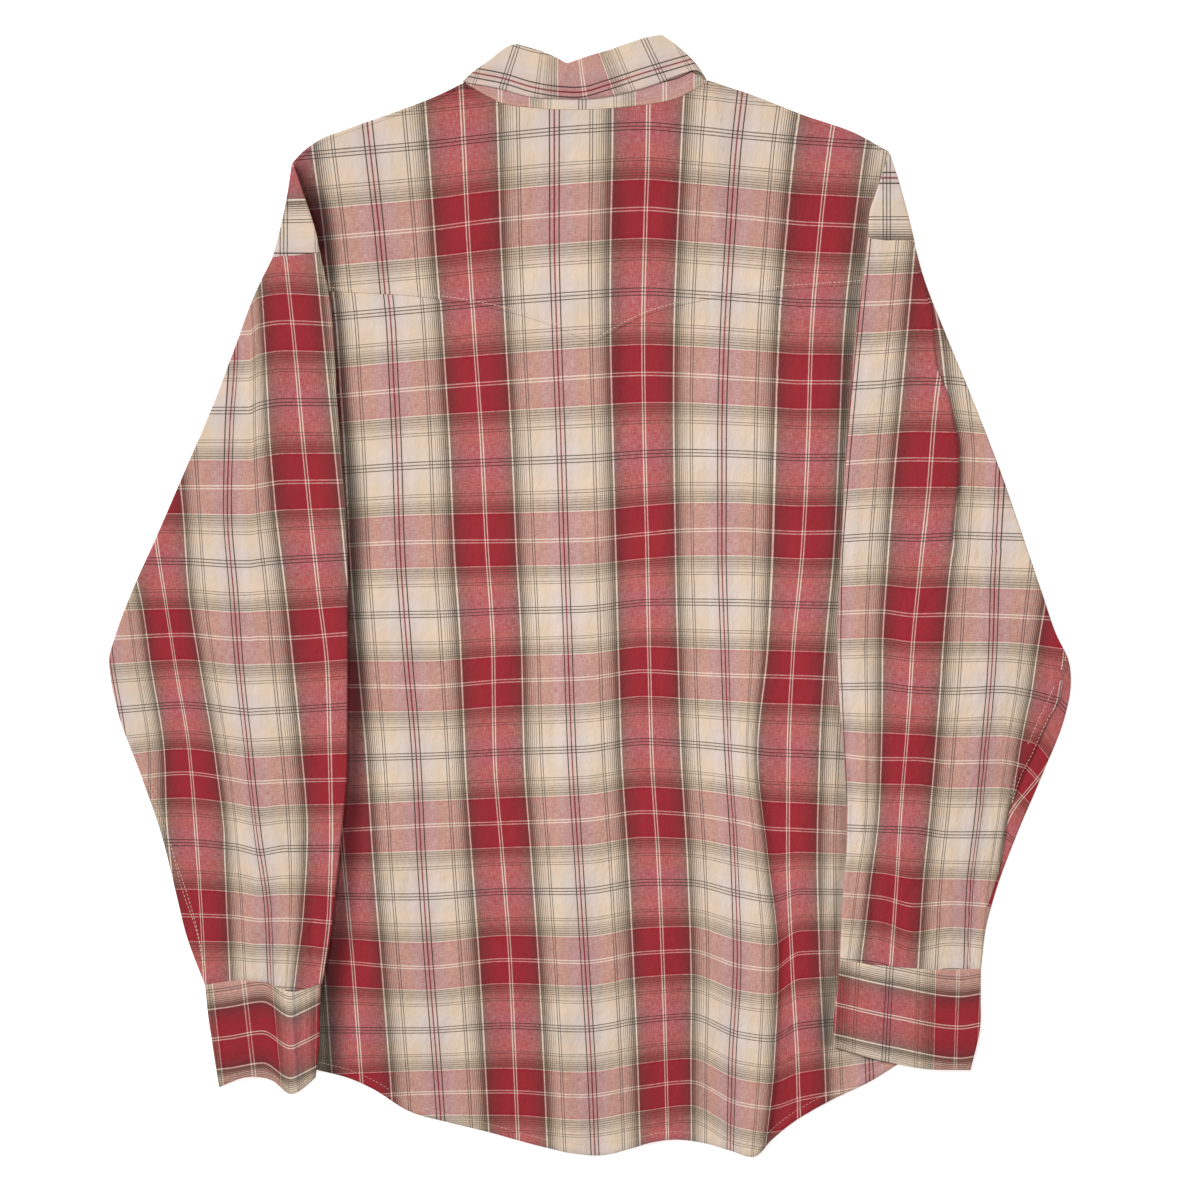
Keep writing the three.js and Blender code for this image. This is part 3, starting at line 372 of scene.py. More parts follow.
BACK_FOLD = {"top": -95.0, "foot": -432.0, "reach": 44.0, "rise": 2.6, "drop": 3.0}

# Painted shade on the back beside the layers laid over it, standing in for the shadow they cast: heights, its
# depth at each, and its reach
PAINTED_SHADES = {
    "left": (
        (335, 300, 262, 236, 174, 112, 51, -10, -72, -133, -195, -257, -318, -370),
        (0.28, 0.52, 0.46, 0.36, 0.38, 0.4, 0.44, 0.48, 0.44, 0.46, 0.43, 0.45, 0.46, 0.46),
        (8, 13, 10, 7, 7.5, 10, 12, 10.5, 13, 11, 13, 14, 16, 16),
    ),
    "right": (
        (335, 300, 262, 236, 174, 112, 51, -10, -72, -133, -195, -257, -318, -370),
        (0.1, 0.28, 0.34, 0.34, 0.34, 0.28, 0.24, 0.16, 0.2, 0.22, 0.24, 0.3, 0.34, 0.34),
        (5, 7, 8, 8, 7, 6, 6, 6, 5, 7, 6, 8, 10, 10),
    ),
}

SNAP_RADIUS = 5.5
LATHE_SIDES = 40
FRONT_SNAPS = {"count": 7, "top": 255.0, "pitch": 92.0}


class ShirtSizes(bpy.types.PropertyGroup):
    cloth: bpy.props.FloatProperty(
        name="Cloth", description="Thickness of one layer of cloth", default=0.0012, unit="LENGTH")
    grid: bpy.props.FloatProperty(
        name="Grid", description="Spacing of the cloth's points", default=0.0032, unit="LENGTH")
    stitch: bpy.props.FloatProperty(
        name="Stitch", description="Length of one stitch", default=0.0024, unit="LENGTH")
    thread: bpy.props.FloatProperty(
        name="Thread", description="Thickness of the sewing thread", default=0.00042, unit="LENGTH")
    snap: bpy.props.FloatProperty(
        name="Snap", description="Radius of a snap's cap", default=SNAP_RADIUS * MM, unit="LENGTH")
    camera_height: bpy.props.FloatProperty(
        name="Camera height", description="Height of the camera above the floor", default=2.4, unit="LENGTH")


class ShirtColours(bpy.types.PropertyGroup):
    red: bpy.props.FloatVectorProperty(
        name="Red yarn", description="Colour of the red yarn as seen", subtype="COLOR_GAMMA",
        default=(0.60, 0.132, 0.172), min=0, max=1)
    brown: bpy.props.FloatVectorProperty(
        name="Brown yarn", description="Colour of the yarn beside the red stripes", subtype="COLOR_GAMMA",
        default=(0.37, 0.172, 0.168), min=0, max=1)
    grey: bpy.props.FloatVectorProperty(
        name="Grey yarn", description="Colour of the grey-green yarn", subtype="COLOR_GAMMA",
        default=(0.515, 0.43, 0.365), min=0, max=1)
    cream: bpy.props.FloatVectorProperty(
        name="Cream yarn", description="Colour of the cream yarn", subtype="COLOR_GAMMA",
        default=(0.865, 0.775, 0.683), min=0, max=1)
    white: bpy.props.FloatVectorProperty(
        name="White yarn", description="Colour of the palest yarn", subtype="COLOR_GAMMA",
        default=(0.848, 0.787, 0.75), min=0, max=1)
    dark: bpy.props.FloatVectorProperty(
        name="Dark yarn", description="Colour of the thin dark lines", subtype="COLOR_GAMMA",
        default=(0.15, 0.135, 0.12), min=0, max=1)
    thread: bpy.props.FloatVectorProperty(
        name="Sewing thread", description="Colour of the topstitching", subtype="COLOR_GAMMA",
        default=(0.90, 0.80, 0.72), min=0, max=1)


def smooth(x, y, at, even=False):
    """Smooth curve through the points (x, y): a cubic between each two, whose slope at a point is the mean
    of the chords beside it, and a straight line past the ends. An even curve takes their harmonic mean, and
    none where they differ in sign, so it never swings past its points."""
    x, y = np.asarray(x, float), np.asarray(y, float)
    if x[0] > x[-1]:
        x, y = x[::-1], y[::-1]
    step = np.diff(x)
    chord = np.diff(y) / step
    inner = (chord[1:] * step[:-1] + chord[:-1] * step[1:]) / (step[1:] + step[:-1])
    if even:
        both = chord[1:] * chord[:-1]
        inner = np.where(both > 0, 2 * both / (chord[1:] + chord[:-1] + (both <= 0)), 0)
    slope = np.concatenate([chord[:1], inner, chord[-1:]])
    i = np.clip(np.searchsorted(x, at) - 1, 0, len(step) - 1)
    t = (at - x[i]) / step[i]
    c = np.clip(t, 0, 1)
    curve = (
        y[i] * (1 + 2 * c) * (1 - c) ** 2
        + y[i + 1] * c * c * (3 - 2 * c)
        + step[i] * (slope[i] * c * (1 - c) ** 2 + slope[i + 1] * c * c * (c - 1))
    )
    beyond = (t - c) * step[i]
    return curve + beyond * np.where(t > 1, slope[i + 1], slope[i])


def travelled(line):
    """Distance along a line in plan at each of its points."""
    return np.concatenate([[0], np.cumsum(np.hypot(*np.diff(line[:, :2], axis=0).T))])


def leftwards(line):
    """Unit vectors to the left of a line in plan, at each of its points."""
    turn = np.gradient(line, axis=0)
    turn /= np.maximum(np.hypot(*turn.T), 1e-6)[:, None]
    return np.stack([-turn[:, 1], turn[:, 0]], -1)


def curve(points, samples=200):
    """Smooth line through a list of points, as an array of samples evenly spaced by the chords' length."""
    points = np.asarray(points, float)
    length = travelled(points)
    at = np.linspace(0, length[-1], samples)
    if len(points) == 2:
        return np.stack([np.interp(at, length, points[:, k]) for k in range(points.shape[1])], -1)
    return np.stack([smooth(length, points[:, k], at) for k in range(points.shape[1])], -1)


def joined(*lines):
    """Several lines end to end, as one array of points."""
    return np.concatenate([lines[0]] + [line[1:] for line in lines[1:]])


def along(line, shares):
    """Points of a line at shares of its whole length."""
    length = travelled(line)
    at = np.asarray(shares) * length[-1]
    return np.stack([np.interp(at, length, line[:, k]) for k in range(line.shape[1])], -1)


def rise(share):
    """Smooth step from 0 to 1: 3s^2 - 2s^3."""
    s = np.clip(share, 0, 1)
    return s * s * (3 - 2 * s)


def shares(length, step, near=(), far=()):
    """Shares of a length from 0 to 1, evenly spaced by about a step, with closer ones at the ends."""
    low, high = (max(near) if near else 0), (max(far) if far else 0)
    count = max(2, int(round((length - low - high) / step)) + 1)
    middle = np.linspace(low, length - high, count)
    first = np.array([0.0, *near[:-1]]) if near else np.array([])
    last = length - np.array([0.0, *far[:-1]])[::-1] if far else np.array([])
    return np.unique(np.concatenate([first, middle, last]) / length)


def coons(south, north, west, east, s, t):
    """Coons patch: the sum of the two surfaces ruled between opposite edges, less the one ruled between
    the corners. s runs from west to east, the same in every row or with a row of its own for each t, and t
    runs from south to north."""
    s = np.atleast_2d(s)
    a, b = along(south, s), along(north, s)
    c, d = along(west, t)[:, None], along(east, t)[:, None]
    s, t = s[..., None], t[:, None, None]
    corners = (
        (1 - s) * (1 - t) * south[0] + s * (1 - t) * south[-1]
        + (1 - s) * t * north[0] + s * t * north[-1]
    )
    return (1 - t) * a + t * b + (1 - s) * c + s * d - corners


def charted(place, at, lines):
    """Count of the check at each point. Between two charted lines it grows evenly, and past the last ones
    it goes on at the rate beside them."""
    heights, stripes = lines
    places = [smooth(heights, row, at, even=True) for _, row in stripes]
    counts = [
        smooth(heights, count, at, even=True) if isinstance(count, tuple)
        else np.full(np.shape(at), float(count))
        for count, _ in stripes
    ]
    total = counts[0].copy()
    last = len(stripes) - 2
    for i in range(last + 1):
        gap = places[i + 1] - places[i]
        share = (place - places[i]) / gap
        if i > 0:
            share = np.maximum(share, 0)
        if i < last:
            share = np.minimum(share, 1)
        total += share * (counts[i + 1] - counts[i])
    return total


def checked(x, y, chart, sign=1):
    """Warp and weft counts of the check at each point of a laid piece. Beyond a lapped edge the warp is read
    from that edge's own lines."""
    warp = charted(x, y, chart["across"])
    weft = charted(y, x, chart["along"])
    for lap in chart.get("beyond", []):
        heights, places = lap["edge"]
        reach = sign * (x - smooth(heights, places, y, even=True))
        past = (reach > 0) & (y > min(heights)) & (y < max(heights))
        warp = np.where(past, charted(x, y, lap["across"]), warp)
        weft = weft + past * (lap["slip"] - lap["lean"] * reach / WEFT_HALF)
    return np.stack([warp, weft], -1)


def across_seam(x, y, side):
    """How far the stripes of the back's two pieces miss each other at the yoke seam, at the left only."""
    shift = 0.018 * side * rise((-80 - x) / 90) * rise(1 - np.abs(y - 225) / 70)
    return np.stack([shift, 0 * shift], -1)


def plain_check(x, y, x0, y0, crosswise=False):
    """Counts of an even check with a red stripe and a red band crossing at (x0, y0)."""
    u, v = (x - x0) / WARP_HALF, (y - y0) / WEFT_HALF
    if crosswise:
        u, v = (y - y0) / WARP_HALF, (x - x0) / WEFT_HALF
    return np.stack([u, v], -1)


def creased(x, y, creases):
    """Height of a set of soft creases: each is a squared cosine across, leaning to one side, and swells and
    fades along its length."""
    total = np.zeros(np.shape(x))
    for x0, y0, x1, y1, half, height, lean in creases:
        length = math.hypot(x1 - x0, y1 - y0)
        dx, dy = (x1 - x0) / length, (y1 - y0) / length
        t = ((x - x0) * dx + (y - y0) * dy) / length
        bow = 0.035 * length * np.sin(2.2 * math.pi * t + x0)
        across = ((x - x0) * dy - (y - y0) * dx - bow * 0.35) / half
        across = across + lean * (1 - across * across)
        fade = rise(t / 0.3) * rise((1 - t) / 0.22 + 0.35)
        wall = np.where(np.abs(across) < 1, np.cos(np.clip(across, -1, 1) * math.pi / 2) ** 2, 0)
        total = total + height * wall * fade * ((t > 0) & (t < 1))
    return total


def lift(x, y):
    """How far the laid layers ride up over the collar points, and over the lapped centre front."""
    out = np.abs(x - FRONT_CENTRE)
    over_points = rise((111 - out) / 14) * rise((y - 264) / 14)
    over_lap = rise((27 - out) / 7) * rise((338 - y) / 25)
    return LAYER * over_points, LAYER * over_lap


def neck_line(grow, samples):
    """Front neck edge: the lower half of an ellipse, grown outwards by a clearance."""
    angle = np.linspace(math.pi, 2 * math.pi, samples)
    return np.stack([
        FRONT_CENTRE + (NECK_HALF + grow) * np.cos(angle), NECK_Y + (NECK_DROP + grow) * np.sin(angle),
    ], -1)


def fold_edge(y):
    """X of the lapped fold's edge at each height."""
    heights, stripes = BACK_CHART["across"]
    return smooth(heights, stripes[FOLD_LINE][1], y, even=True)


def back_height(x, y):
    """Top of the back: the layers below it, its creases, the fold at the lower right whose far side drops
    steeply, and the waves of the hem."""
    points, lap = lift(x, y)
    height = BODY_TOP + points + lap
    clear = rise((184 - np.abs(x)) / 14)
    beyond = x - fold_edge(y)
    slope = rise(1 + beyond / BACK_FOLD["reach"]) * (1 - rise(beyond / BACK_FOLD["drop"]))
    span = rise((BACK_FOLD["top"] - y) / 90) * rise((y - BACK_FOLD["foot"]) / 40 + 0.4)
    height = height + clear * (creased(x, y, BACK_CREASES) + BACK_FOLD["rise"] * slope * span)
    wave = np.sin((x - 8) / 23) * rise((-385 - y) / 45) * rise((y + 440) / 5) * rise((x + 10) / 40)
    return np.maximum(height + 0.9 * clear * wave, LAYER + 1.2)


def back_painted_shade(x, y):
    """Painted shade: how much darker the back's colour is made close beside each turned flap, sleeve and
    cuff,
    in place of the shadow they cast: full at their edge, and gone at 1.6 times the reach."""
    total = np.zeros(np.shape(x))
    for side, sign in (("left", 1), ("right", -1)):
        inner = FLAPS[side]["inner"][:0:-1] + [row[2:4] for row in SLEEVES[side][1:]]
        inner = inner + [row[2:4] for row in CUFFS[side][1:]]
        places, heights = np.array(inner).T
        levels, depths, reaches = PAINTED_SHADES[side]
        away = sign * (x - smooth(heights, places, y, even=True))
        share = away / smooth(levels, reaches, y, even=True)
        out_x, out_y, in_x, in_y = CUFFS[side][-1][:4]
        foot = in_y + (out_y - in_y) * (x - in_x) / (out_x - in_x)
        ends = (0.55 + 0.45 * rise(away / 2.5)) * rise((y - foot + 6) / 9)
        total = total + smooth(levels, depths, y, even=True) * (1 - rise((share - 0.35) / 1.25)) * ends
    return np.clip(total, 0, 0.6) * rise((345 - y) / 20)


def surface_grid(points, height):
    """Points of a piece with a height worked out at each."""
    return np.concatenate([points, height(points[..., 0], points[..., 1])[..., None]], -1)


def new_piece(name, parts, looks, shade=None):
    """One object from closed parts, each given as points, four-cornered faces and counts of the check. A
    shade is painted shade: how much darker the colour is made at each point."""
    points = np.concatenate([p for p, _, _ in parts])
    starts = np.cumsum([0] + [len(p) for p, _, _ in parts[:-1]])
    faces = np.concatenate([f + start for (_, f, _), start in zip(parts, starts)])
    counts = np.concatenate([c for _, _, c in parts])
    mesh = bpy.data.meshes.new(name)
    mesh.vertices.add(len(points))
    mesh.vertices.foreach_set("co", (points * MM).astype(np.float32).ravel())
    mesh.loops.add(faces.size)
    mesh.loops.foreach_set("vertex_index", faces.astype(np.int32).ravel())
    mesh.polygons.add(len(faces))
    mesh.polygons.foreach_set("loop_start", np.arange(0, faces.size, faces.shape[1], dtype=np.int32))
    mesh.polygons.foreach_set("use_smooth", np.ones(len(faces), dtype=bool))
    layer = mesh.uv_layers.new(name="check")
    layer.data.foreach_set("uv", counts[faces.ravel()].astype(np.float32).ravel())
    if shade:
        dim = mesh.attributes.new("shade", "FLOAT", "POINT")
        dim.data.foreach_set("value", shade(points[:, 0], points[:, 1]).astype(np.float32))
    mesh.update(calc_edges=True)
    mesh.validate()
    piece = bpy.data.objects.new(name, mesh)
    bpy.context.scene.collection.objects.link(piece)
    for look in looks:
        mesh.materials.append(look)
    return piece


def sheet_part(top, under, counts):
    """A closed layer of cloth: upper wall, lower wall, and the rim between their borders. Each wall is a
    grid of rows and columns."""
    rows, columns = top.shape[:2]
    across, up = top[:, 1:] - top[:, :-1], top[1:] - top[:-1]
    turn = (across[:-1, :, 0] * up[:, :-1, 1] - across[:-1, :, 1] * up[:, :-1, 0]).sum()
    if turn < -1e-6:
        top, under, counts = top[:, ::-1], under[:, ::-1], counts[:, ::-1]
    index = np.arange(rows * columns).reshape(rows, columns)
    a, b, c, d = index[:-1, :-1], index[:-1, 1:], index[1:, 1:], index[1:, :-1]
    upper = np.stack([a, b, c, d], -1).reshape(-1, 4)
    lower = upper[:, ::-1] + rows * columns
    border = np.concatenate([index[0, :-1], index[:-1, -1], index[-1, :0:-1], index[:0:-1, 0]])
    after = np.roll(border, -1)
    rim = np.stack([border + rows * columns, after + rows * columns, after, border], -1)
    points = np.concatenate([top.reshape(-1, 3), under.reshape(-1, 3)])
    both = np.concatenate([counts.reshape(-1, 2)] * 2)
    return points, np.concatenate([upper, lower, rim]), both


def laid_part(grid, height, thickness, count):
    """A layer laid flat: its upper wall at a height above each point of a plan, and its lower wall a cloth's
    thickness below."""
    top = surface_grid(grid, height)
    under = top - np.array([0, 0, thickness])
    return sheet_part(top, under, count(grid[..., 0], grid[..., 1]))


def tube_part(outer, inner, counts):
    """A tube open at both ends: rings of an outer wall and of an inner wall, joined at the two ends."""
    rows, columns = outer.shape[:2]
    index = np.arange(rows * columns).reshape(rows, columns)
    a, d = index[:-1], index[1:]
    b, c = np.roll(a, -1, 1), np.roll(d, -1, 1)
    outside = np.stack([a, b, c, d], -1).reshape(-1, 4)
    inside = outside[:, ::-1] + rows * columns
    first, last = index[0], index[-1]
    within = rows * columns
    near = np.stack([np.roll(first, -1), first, first + within, np.roll(first, -1) + within], -1)
    far = np.stack([last, np.roll(last, -1), np.roll(last, -1) + within, last + within], -1)
    points = np.concatenate([outer.reshape(-1, 3), inner.reshape(-1, 3)])
    both = np.concatenate([counts.reshape(-1, 2)] * 2)
    return faced_out(points, np.concatenate([outside, inside, near, far]), both)


def faced_out(points, faces, counts):
    """A closed part with its faces turned outwards, by the sign of the volume inside them: that of the
    tetrahedra from the origin to each face, taken as two triangles."""
    p = points[faces]
    first = np.einsum("ij,ij->i", p[:, 0], np.cross(p[:, 1], p[:, 2]))
    second = np.einsum("ij,ij->i", p[:, 0], np.cross(p[:, 2], p[:, 3]))
    return points, (faces if (first + second).sum() > 0 else faces[:, ::-1]), counts


def new_cloth(name, parts, shade=None):
    """A piece of the checked cloth for the node of that name: its mesh, what it rides on and stands for,
    and its finish."""
    # A shade, where given, is painted shade that darkens the cloth's colour
    piece = new_piece(f"{name}_cloth", parts, [material("woven check")], shade)
    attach(piece, "root")
    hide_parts(name)


def node(tree, kind, inputs=(), **settings):
    """Adds a shader node, gives its settings, and fills its sockets with values or links."""
    made = tree.nodes.new("ShaderNode" + kind)
    for name, value in settings.items():
        setattr(made, name, value)
    for socket, value in dict(inputs).items():
        if isinstance(value, bpy.types.NodeSocket):
            tree.links.new(value, made.inputs[socket])
        else:
            made.inputs[socket].default_value = value
    return made


def maths(tree, operation, *values):
    """A Math node on up to three values."""
    return node(tree, "Math", enumerate(values), operation=operation).outputs[0]


def blended(tree, share, first, second):
    """A Mix node on two colours."""
    return node(tree, "Mix", {0: share, 6: first, 7: second}, data_type="RGBA").outputs[2]


def scaled(tree, colour, amount):
    """A colour times an amount."""
    return node(tree, "VectorMath", {0: colour, "Scale": amount}, operation="SCALE").outputs[0]


def new_look(name):
    """An empty material, and its tree of nodes."""
    look = bpy.data.materials.new(name)
    look.use_nodes = True
    look.node_tree.nodes.clear()
    return look, look.node_tree


def show(tree, shader):
    """Links a shader to the material's output."""
    output = node(tree, "OutputMaterial")
    tree.links.new(shader.outputs[0], output.inputs[0])


def ramp(tree, factor, stops):
    """A colour ramp from (place, colour, show) rows, where the show goes into the alpha."""
    made = node(tree, "ValToRGB", {0: factor})
    elements = made.color_ramp.elements
    elements.remove(elements[1])
    elements[0].position = stops[0][0]
    elements[0].color = (*stops[0][1], stops[0][2])
    for place, colour, show in stops[1:]:
        elements.new(place).color = (*colour, show)
    return made


def lines_ramp(tree, factor, lines, width, flat=0.0):
    """A mask of thin lines at (place, strength) rows, each a small peak with a flat top. A stop nearer than
    0.3 of the width to an earlier one is left out, to keep within the ramp's 32."""
    stops = []
    for place, strength in lines:
        for shift, value in ((-width - flat, 0), (-flat, strength), (flat, strength), (width + flat, 0)):
            at = place + shift
            if 0 <= at <= 1 and not any(abs(at - row[0]) < 0.3 * width for row in stops):
                stops.append((at, (value,) * 3, 1.0))
    return ramp(tree, factor, sorted(stops)).outputs[0]


def mixed(*rows):
    """Weighted mean of colours given as (weight, colour) rows."""
    return tuple(sum(weight * colour[i] for weight, colour in rows) for i in range(3))


# Places in the check's half repeats, from the middle of a red stripe to the middle of a cream one
FINE_LINES = (
    [
        (0.402, 0.8), (0.425, 1.0), (0.449, 1.0), (0.472, 0.9), (0.496, 0.75), (0.521, 0.65), (0.548, 0.5),
        (0.59, 1.0), (0.62, 1.0),
    ],
    [
        (0.374, 0.7), (0.403, 1.0), (0.438, 0.9), (0.472, 0.8), (0.5, 0.65), (0.53, 0.5), (0.583, 1.0),
        (0.617, 0.9),
    ],
)
BOLD_LINES = (
    [(0.947, 1.0)],
    [(0.957, 0.95), (1.0, 0.95)],
)
BOLD_WIDTH = ((0.006, 0.0032), (0.007, 0.0028))
WARP_SHOW, WEFT_SHOW = 0.50, 0.30      # how much of the face each yarn covers
LINE_SHOW = 0.62                       # and where it is a pale line
LINE_MORE = (1.3, 0.8)                 # and how much more at a thin dark line
FINE_WIDTH = 0.0068
GAMMA = 2.2


def check_material(colours):
    """Woven check: warp and weft each have their own sequence of colours, and cover the face in turn."""
    look, tree = new_look("woven check")
    red, brown, grey = colours.red[:], colours.brown[:], colours.grey[:]
    cream, white, dark = colours.cream[:], colours.white[:], colours.dark[:]
    pale = mixed((0.35, cream), (0.65, (0.96, 0.90, 0.84)))
    maroon = mixed((0.62, red), (0.38, dark))
    warp_stops = [
        (0.0, mixed((0.6, red), (0.4, dark)), WARP_SHOW), (0.007, red, WARP_SHOW),
        (0.013, pale, LINE_SHOW + 0.1), (0.020, pale, LINE_SHOW + 0.1), (0.026, red, WARP_SHOW),
        (0.15, red, WARP_SHOW), (0.28, mixed((0.6, red), (0.4, brown)), WARP_SHOW),
        (0.367, brown, WARP_SHOW), (0.373, pale, LINE_SHOW), (0.383, pale, LINE_SHOW),
        (0.390, mixed((0.85, grey), (0.15, dark)), WARP_SHOW), (0.42, grey, WARP_SHOW),
        (0.455, mixed((0.3, grey), (0.7, cream)), WARP_SHOW), (0.51, cream, WARP_SHOW),
        (0.64, cream, WARP_SHOW), (0.76, cream, WARP_SHOW), (0.84, white, WARP_SHOW),
        (0.955, mixed((0.9, white), (0.1, red)), WARP_SHOW),
        (0.9885, mixed((0.85, white), (0.15, red)), WARP_SHOW), (0.995, maroon, WARP_SHOW + 0.5),
        (1.0, maroon, WARP_SHOW + 0.5),
    ]
    weft_red = mixed((0.71, red), (0.15, white), (0.14, dark))
    weft_stops = [
        (0.0, weft_red, WEFT_SHOW), (0.009, weft_red, WEFT_SHOW), (0.014, pale, LINE_SHOW),
        (0.024, pale, LINE_SHOW), (0.03, weft_red, WEFT_SHOW), (0.30, weft_red, WEFT_SHOW),
        (0.348, mixed((0.8, red), (0.2, brown)), WEFT_SHOW), (0.353, pale, LINE_SHOW - 0.1),
        (0.361, pale, LINE_SHOW - 0.1), (0.367, mixed((0.8, grey), (0.2, cream)), WEFT_SHOW),
        (0.44, mixed((0.65, grey), (0.35, cream)), WEFT_SHOW),
        (0.54, mixed((0.2, grey), (0.8, cream)), WEFT_SHOW),
        (0.63, cream, WEFT_SHOW), (0.75, cream, WEFT_SHOW), (0.83, white, WEFT_SHOW), (1.0, white, WEFT_SHOW),
    ]
    place = node(tree, "UVMap", uv_map="check").outputs[0]
    split = node(tree, "SeparateXYZ", {0: place})
    millimetres = node(tree, "CombineXYZ", {
        0: maths(tree, "MULTIPLY", split.outputs[0], WARP_HALF),
        1: maths(tree, "MULTIPLY", split.outputs[1], WEFT_HALF),
    }).outputs[0]

    def streaks(scale, detail=2.0):
        """Noise drawn out along one yarn: scale gives waves for each millimetre across and along."""
        stretched = node(
            tree, "VectorMath", {0: millimetres, 1: (*scale, 1.0)}, operation="MULTIPLY").outputs[0]
        return node(tree, "TexNoise", {
            "Vector": stretched, "Scale": 1.0, "Detail": detail, "Roughness": 0.6,
        }, noise_dimensions="2D").outputs[0]

    warp_yarn = streaks((1.3, 0.16), 3.0)
    weft_yarn = streaks((0.16, 1.3), 3.0)
    blotch = streaks((0.035, 0.035), 3.0)
    families = []
    for axis, stops, yarn in ((0, warp_stops, warp_yarn), (1, weft_stops, weft_yarn)):
        folded = maths(tree, "PINGPONG", split.outputs[axis], 1.0)
        base = ramp(tree, folded, stops)
        fine_lines = lines_ramp(tree, folded, FINE_LINES[axis], FINE_WIDTH)
        bold_lines = lines_ramp(tree, folded, BOLD_LINES[axis], *BOLD_WIDTH[axis])
        mask = maths(tree, "MAXIMUM", fine_lines, bold_lines)
        colour = blended(tree, mask, base.outputs[0], (*dark, 1.0))
        more = maths(tree, "MULTIPLY_ADD", mask, LINE_MORE[axis], base.outputs[1])
        uneven = maths(tree, "MULTIPLY_ADD", yarn, 1.9, 0.05)
        families.append((colour, maths(tree, "MULTIPLY", more, uneven)))
    (warp, warp_show), (weft, weft_show) = families
    share = maths(tree, "DIVIDE", weft_show, maths(tree, "ADD", warp_show, weft_show))
    woven = blended(tree, share, warp, weft)
    tone = maths(tree, "MULTIPLY_ADD", blotch, 0.10, 0.95)
    # Painted shade: the shade attribute darkens the cloth's colour where the layers above it would cast
    # shadow
    shade = node(tree, "Attribute", attribute_name="shade").outputs["Fac"]
    lit = maths(tree, "SUBTRACT", 1.0, shade)
    toned = scaled(tree, woven, maths(tree, "MULTIPLY", tone, lit))
    seen = node(tree, "Gamma", {0: toned, 1: GAMMA}).outputs[0]
    weave = maths(tree, "MULTIPLY", warp_yarn, weft_yarn)
    pucker = streaks((0.09, 0.05), 3.0)
    fine = node(tree, "Bump", {"Strength": 0.35, "Distance": 0.00015, "Height": weave}).outputs[0]
    soft = node(tree, "Bump", {
        "Strength": 0.7, "Distance": 0.0016, "Height": pucker, "Normal": fine,
    }).outputs[0]
    shader = node(tree, "BsdfPrincipled", {
        "Base Color": seen, "Roughness": 0.86, "Specular IOR Level": 0.22, "Sheen Weight": 0.06,
        "Sheen Roughness": 0.5, "Normal": soft,
    })
    show(tree, shader)
    return look


def plain_material(name, colour, roughness, grain, metallic=0.0, coat=0.0):
    """A thread, pearl or metal finish: one colour clouded by fine noise, which also roughens it."""
    look, tree = new_look(name)
    where = node(tree, "TexCoord").outputs["Object"]
    noise = node(tree, "TexNoise", {"Vector": where, "Scale": grain, "Detail": 3.0}).outputs[0]
    shade = maths(tree, "MULTIPLY_ADD", noise, 0.35, 0.82)
    base = scaled(tree, tuple(c ** GAMMA for c in colour), shade)
    bump = node(tree, "Bump", {"Strength": 0.3, "Distance": 0.0001, "Height": noise}).outputs[0]
    shader = node(tree, "BsdfPrincipled", {
        "Base Color": base, "Roughness": roughness, "Metallic": metallic, "Coat Weight": coat, "Normal": bump,
    })
    show(tree, shader)
    return look


def material(name):
    """The finish of that name, made when it is first asked for."""
    if name in bpy.data.materials:
        return bpy.data.materials[name]
    colours = bpy.context.scene.shirt_colours
    if name == "woven check":
        return check_material(colours)
    if name == "sewing thread":
        return plain_material(name, colours.thread[:], 0.7, 900.0)
    if name == "pearl_cap":
        return plain_material(name, (0.93, 0.91, 0.87), 0.22, 160.0, coat=0.6)
    if name == "snap_metal":
        return plain_material(name, (0.72, 0.71, 0.69), 0.32, 400.0, metallic=1.0)
    raise ValueError(f"no finish is named {name}")


def sizes():
    """The driving sizes in millimetres."""
    props = bpy.context.scene.shirt_sizes
    return {name: getattr(props, name) / MM for name in ("cloth", "grid", "stitch", "thread", "snap")}


class SHIRT_OT_back_panel(bpy.types.Operator):
    """Back panel: a Coons patch from hem to yoke seam, with creases and the lapped fold"""
    bl_idname = "shirt.back_panel"
    bl_label = "Back panel"

    def execute(self, context):
        size = sizes()
        west = joined(curve(SIDE_LEFT), curve(ARMHOLE_LEFT, 60))
        east = joined(curve(SIDE_RIGHT), curve(ARMHOLE_RIGHT, 60))
        north = joined(curve(YOKE_SEAM_LEFT), curve(YOKE_SEAM_RIGHT))
        s = shares(600, size["grid"], (1.0, 2.5), (1.0, 2.5))
        t = shares(660, size["grid"], (0.6, 1.4, 3.0, 5.0, 5.8, 6.6, 8.0), (0.8, 2.0))
        fold_column = np.searchsorted(s, 0.735)
        s = np.insert(s, fold_column + 1, s[fold_column])
        reach = rise(1 - np.abs(s - s[fold_column]) / 0.25)
        beside = np.where(np.arange(len(s)) == fold_column + 1, 0.5, 0.0)
        moved = np.repeat(s[None], len(t), 0)
        for _ in range(3):
            grid = coons(curve(HEM, 400), north, west, east, moved, t)
            line = grid[:, fold_column]
            wide = grid[:, -1, 0] - grid[:, 0, 0]
            push = (fold_edge(line[:, 1]) - line[:, 0]) / wide * rise((1 - t) / 0.2)
            moved = moved + push[:, None] * reach
        moved = moved + beside / wide[:, None]
        grid = coons(curve(HEM, 400), north, west, east, moved, t)
        turned = 0.35 * (1 - rise((t * 660 - 5.4) / 1.2)) - 0.5 * (1 - rise(t * 660 / 1.6))
        height = lambda x, y: back_height(x, y) + turned[:, None]
        count = lambda x, y: checked(x, y, BACK_CHART) + across_seam(x, y, -1)
        part = laid_part(grid, height, size["cloth"], count)
        # The back's colour carries painted shade beside the sleeves, flaps and cuffs
        new_cloth("back_panel", [part], back_painted_shade)
        return {"FINISHED"}


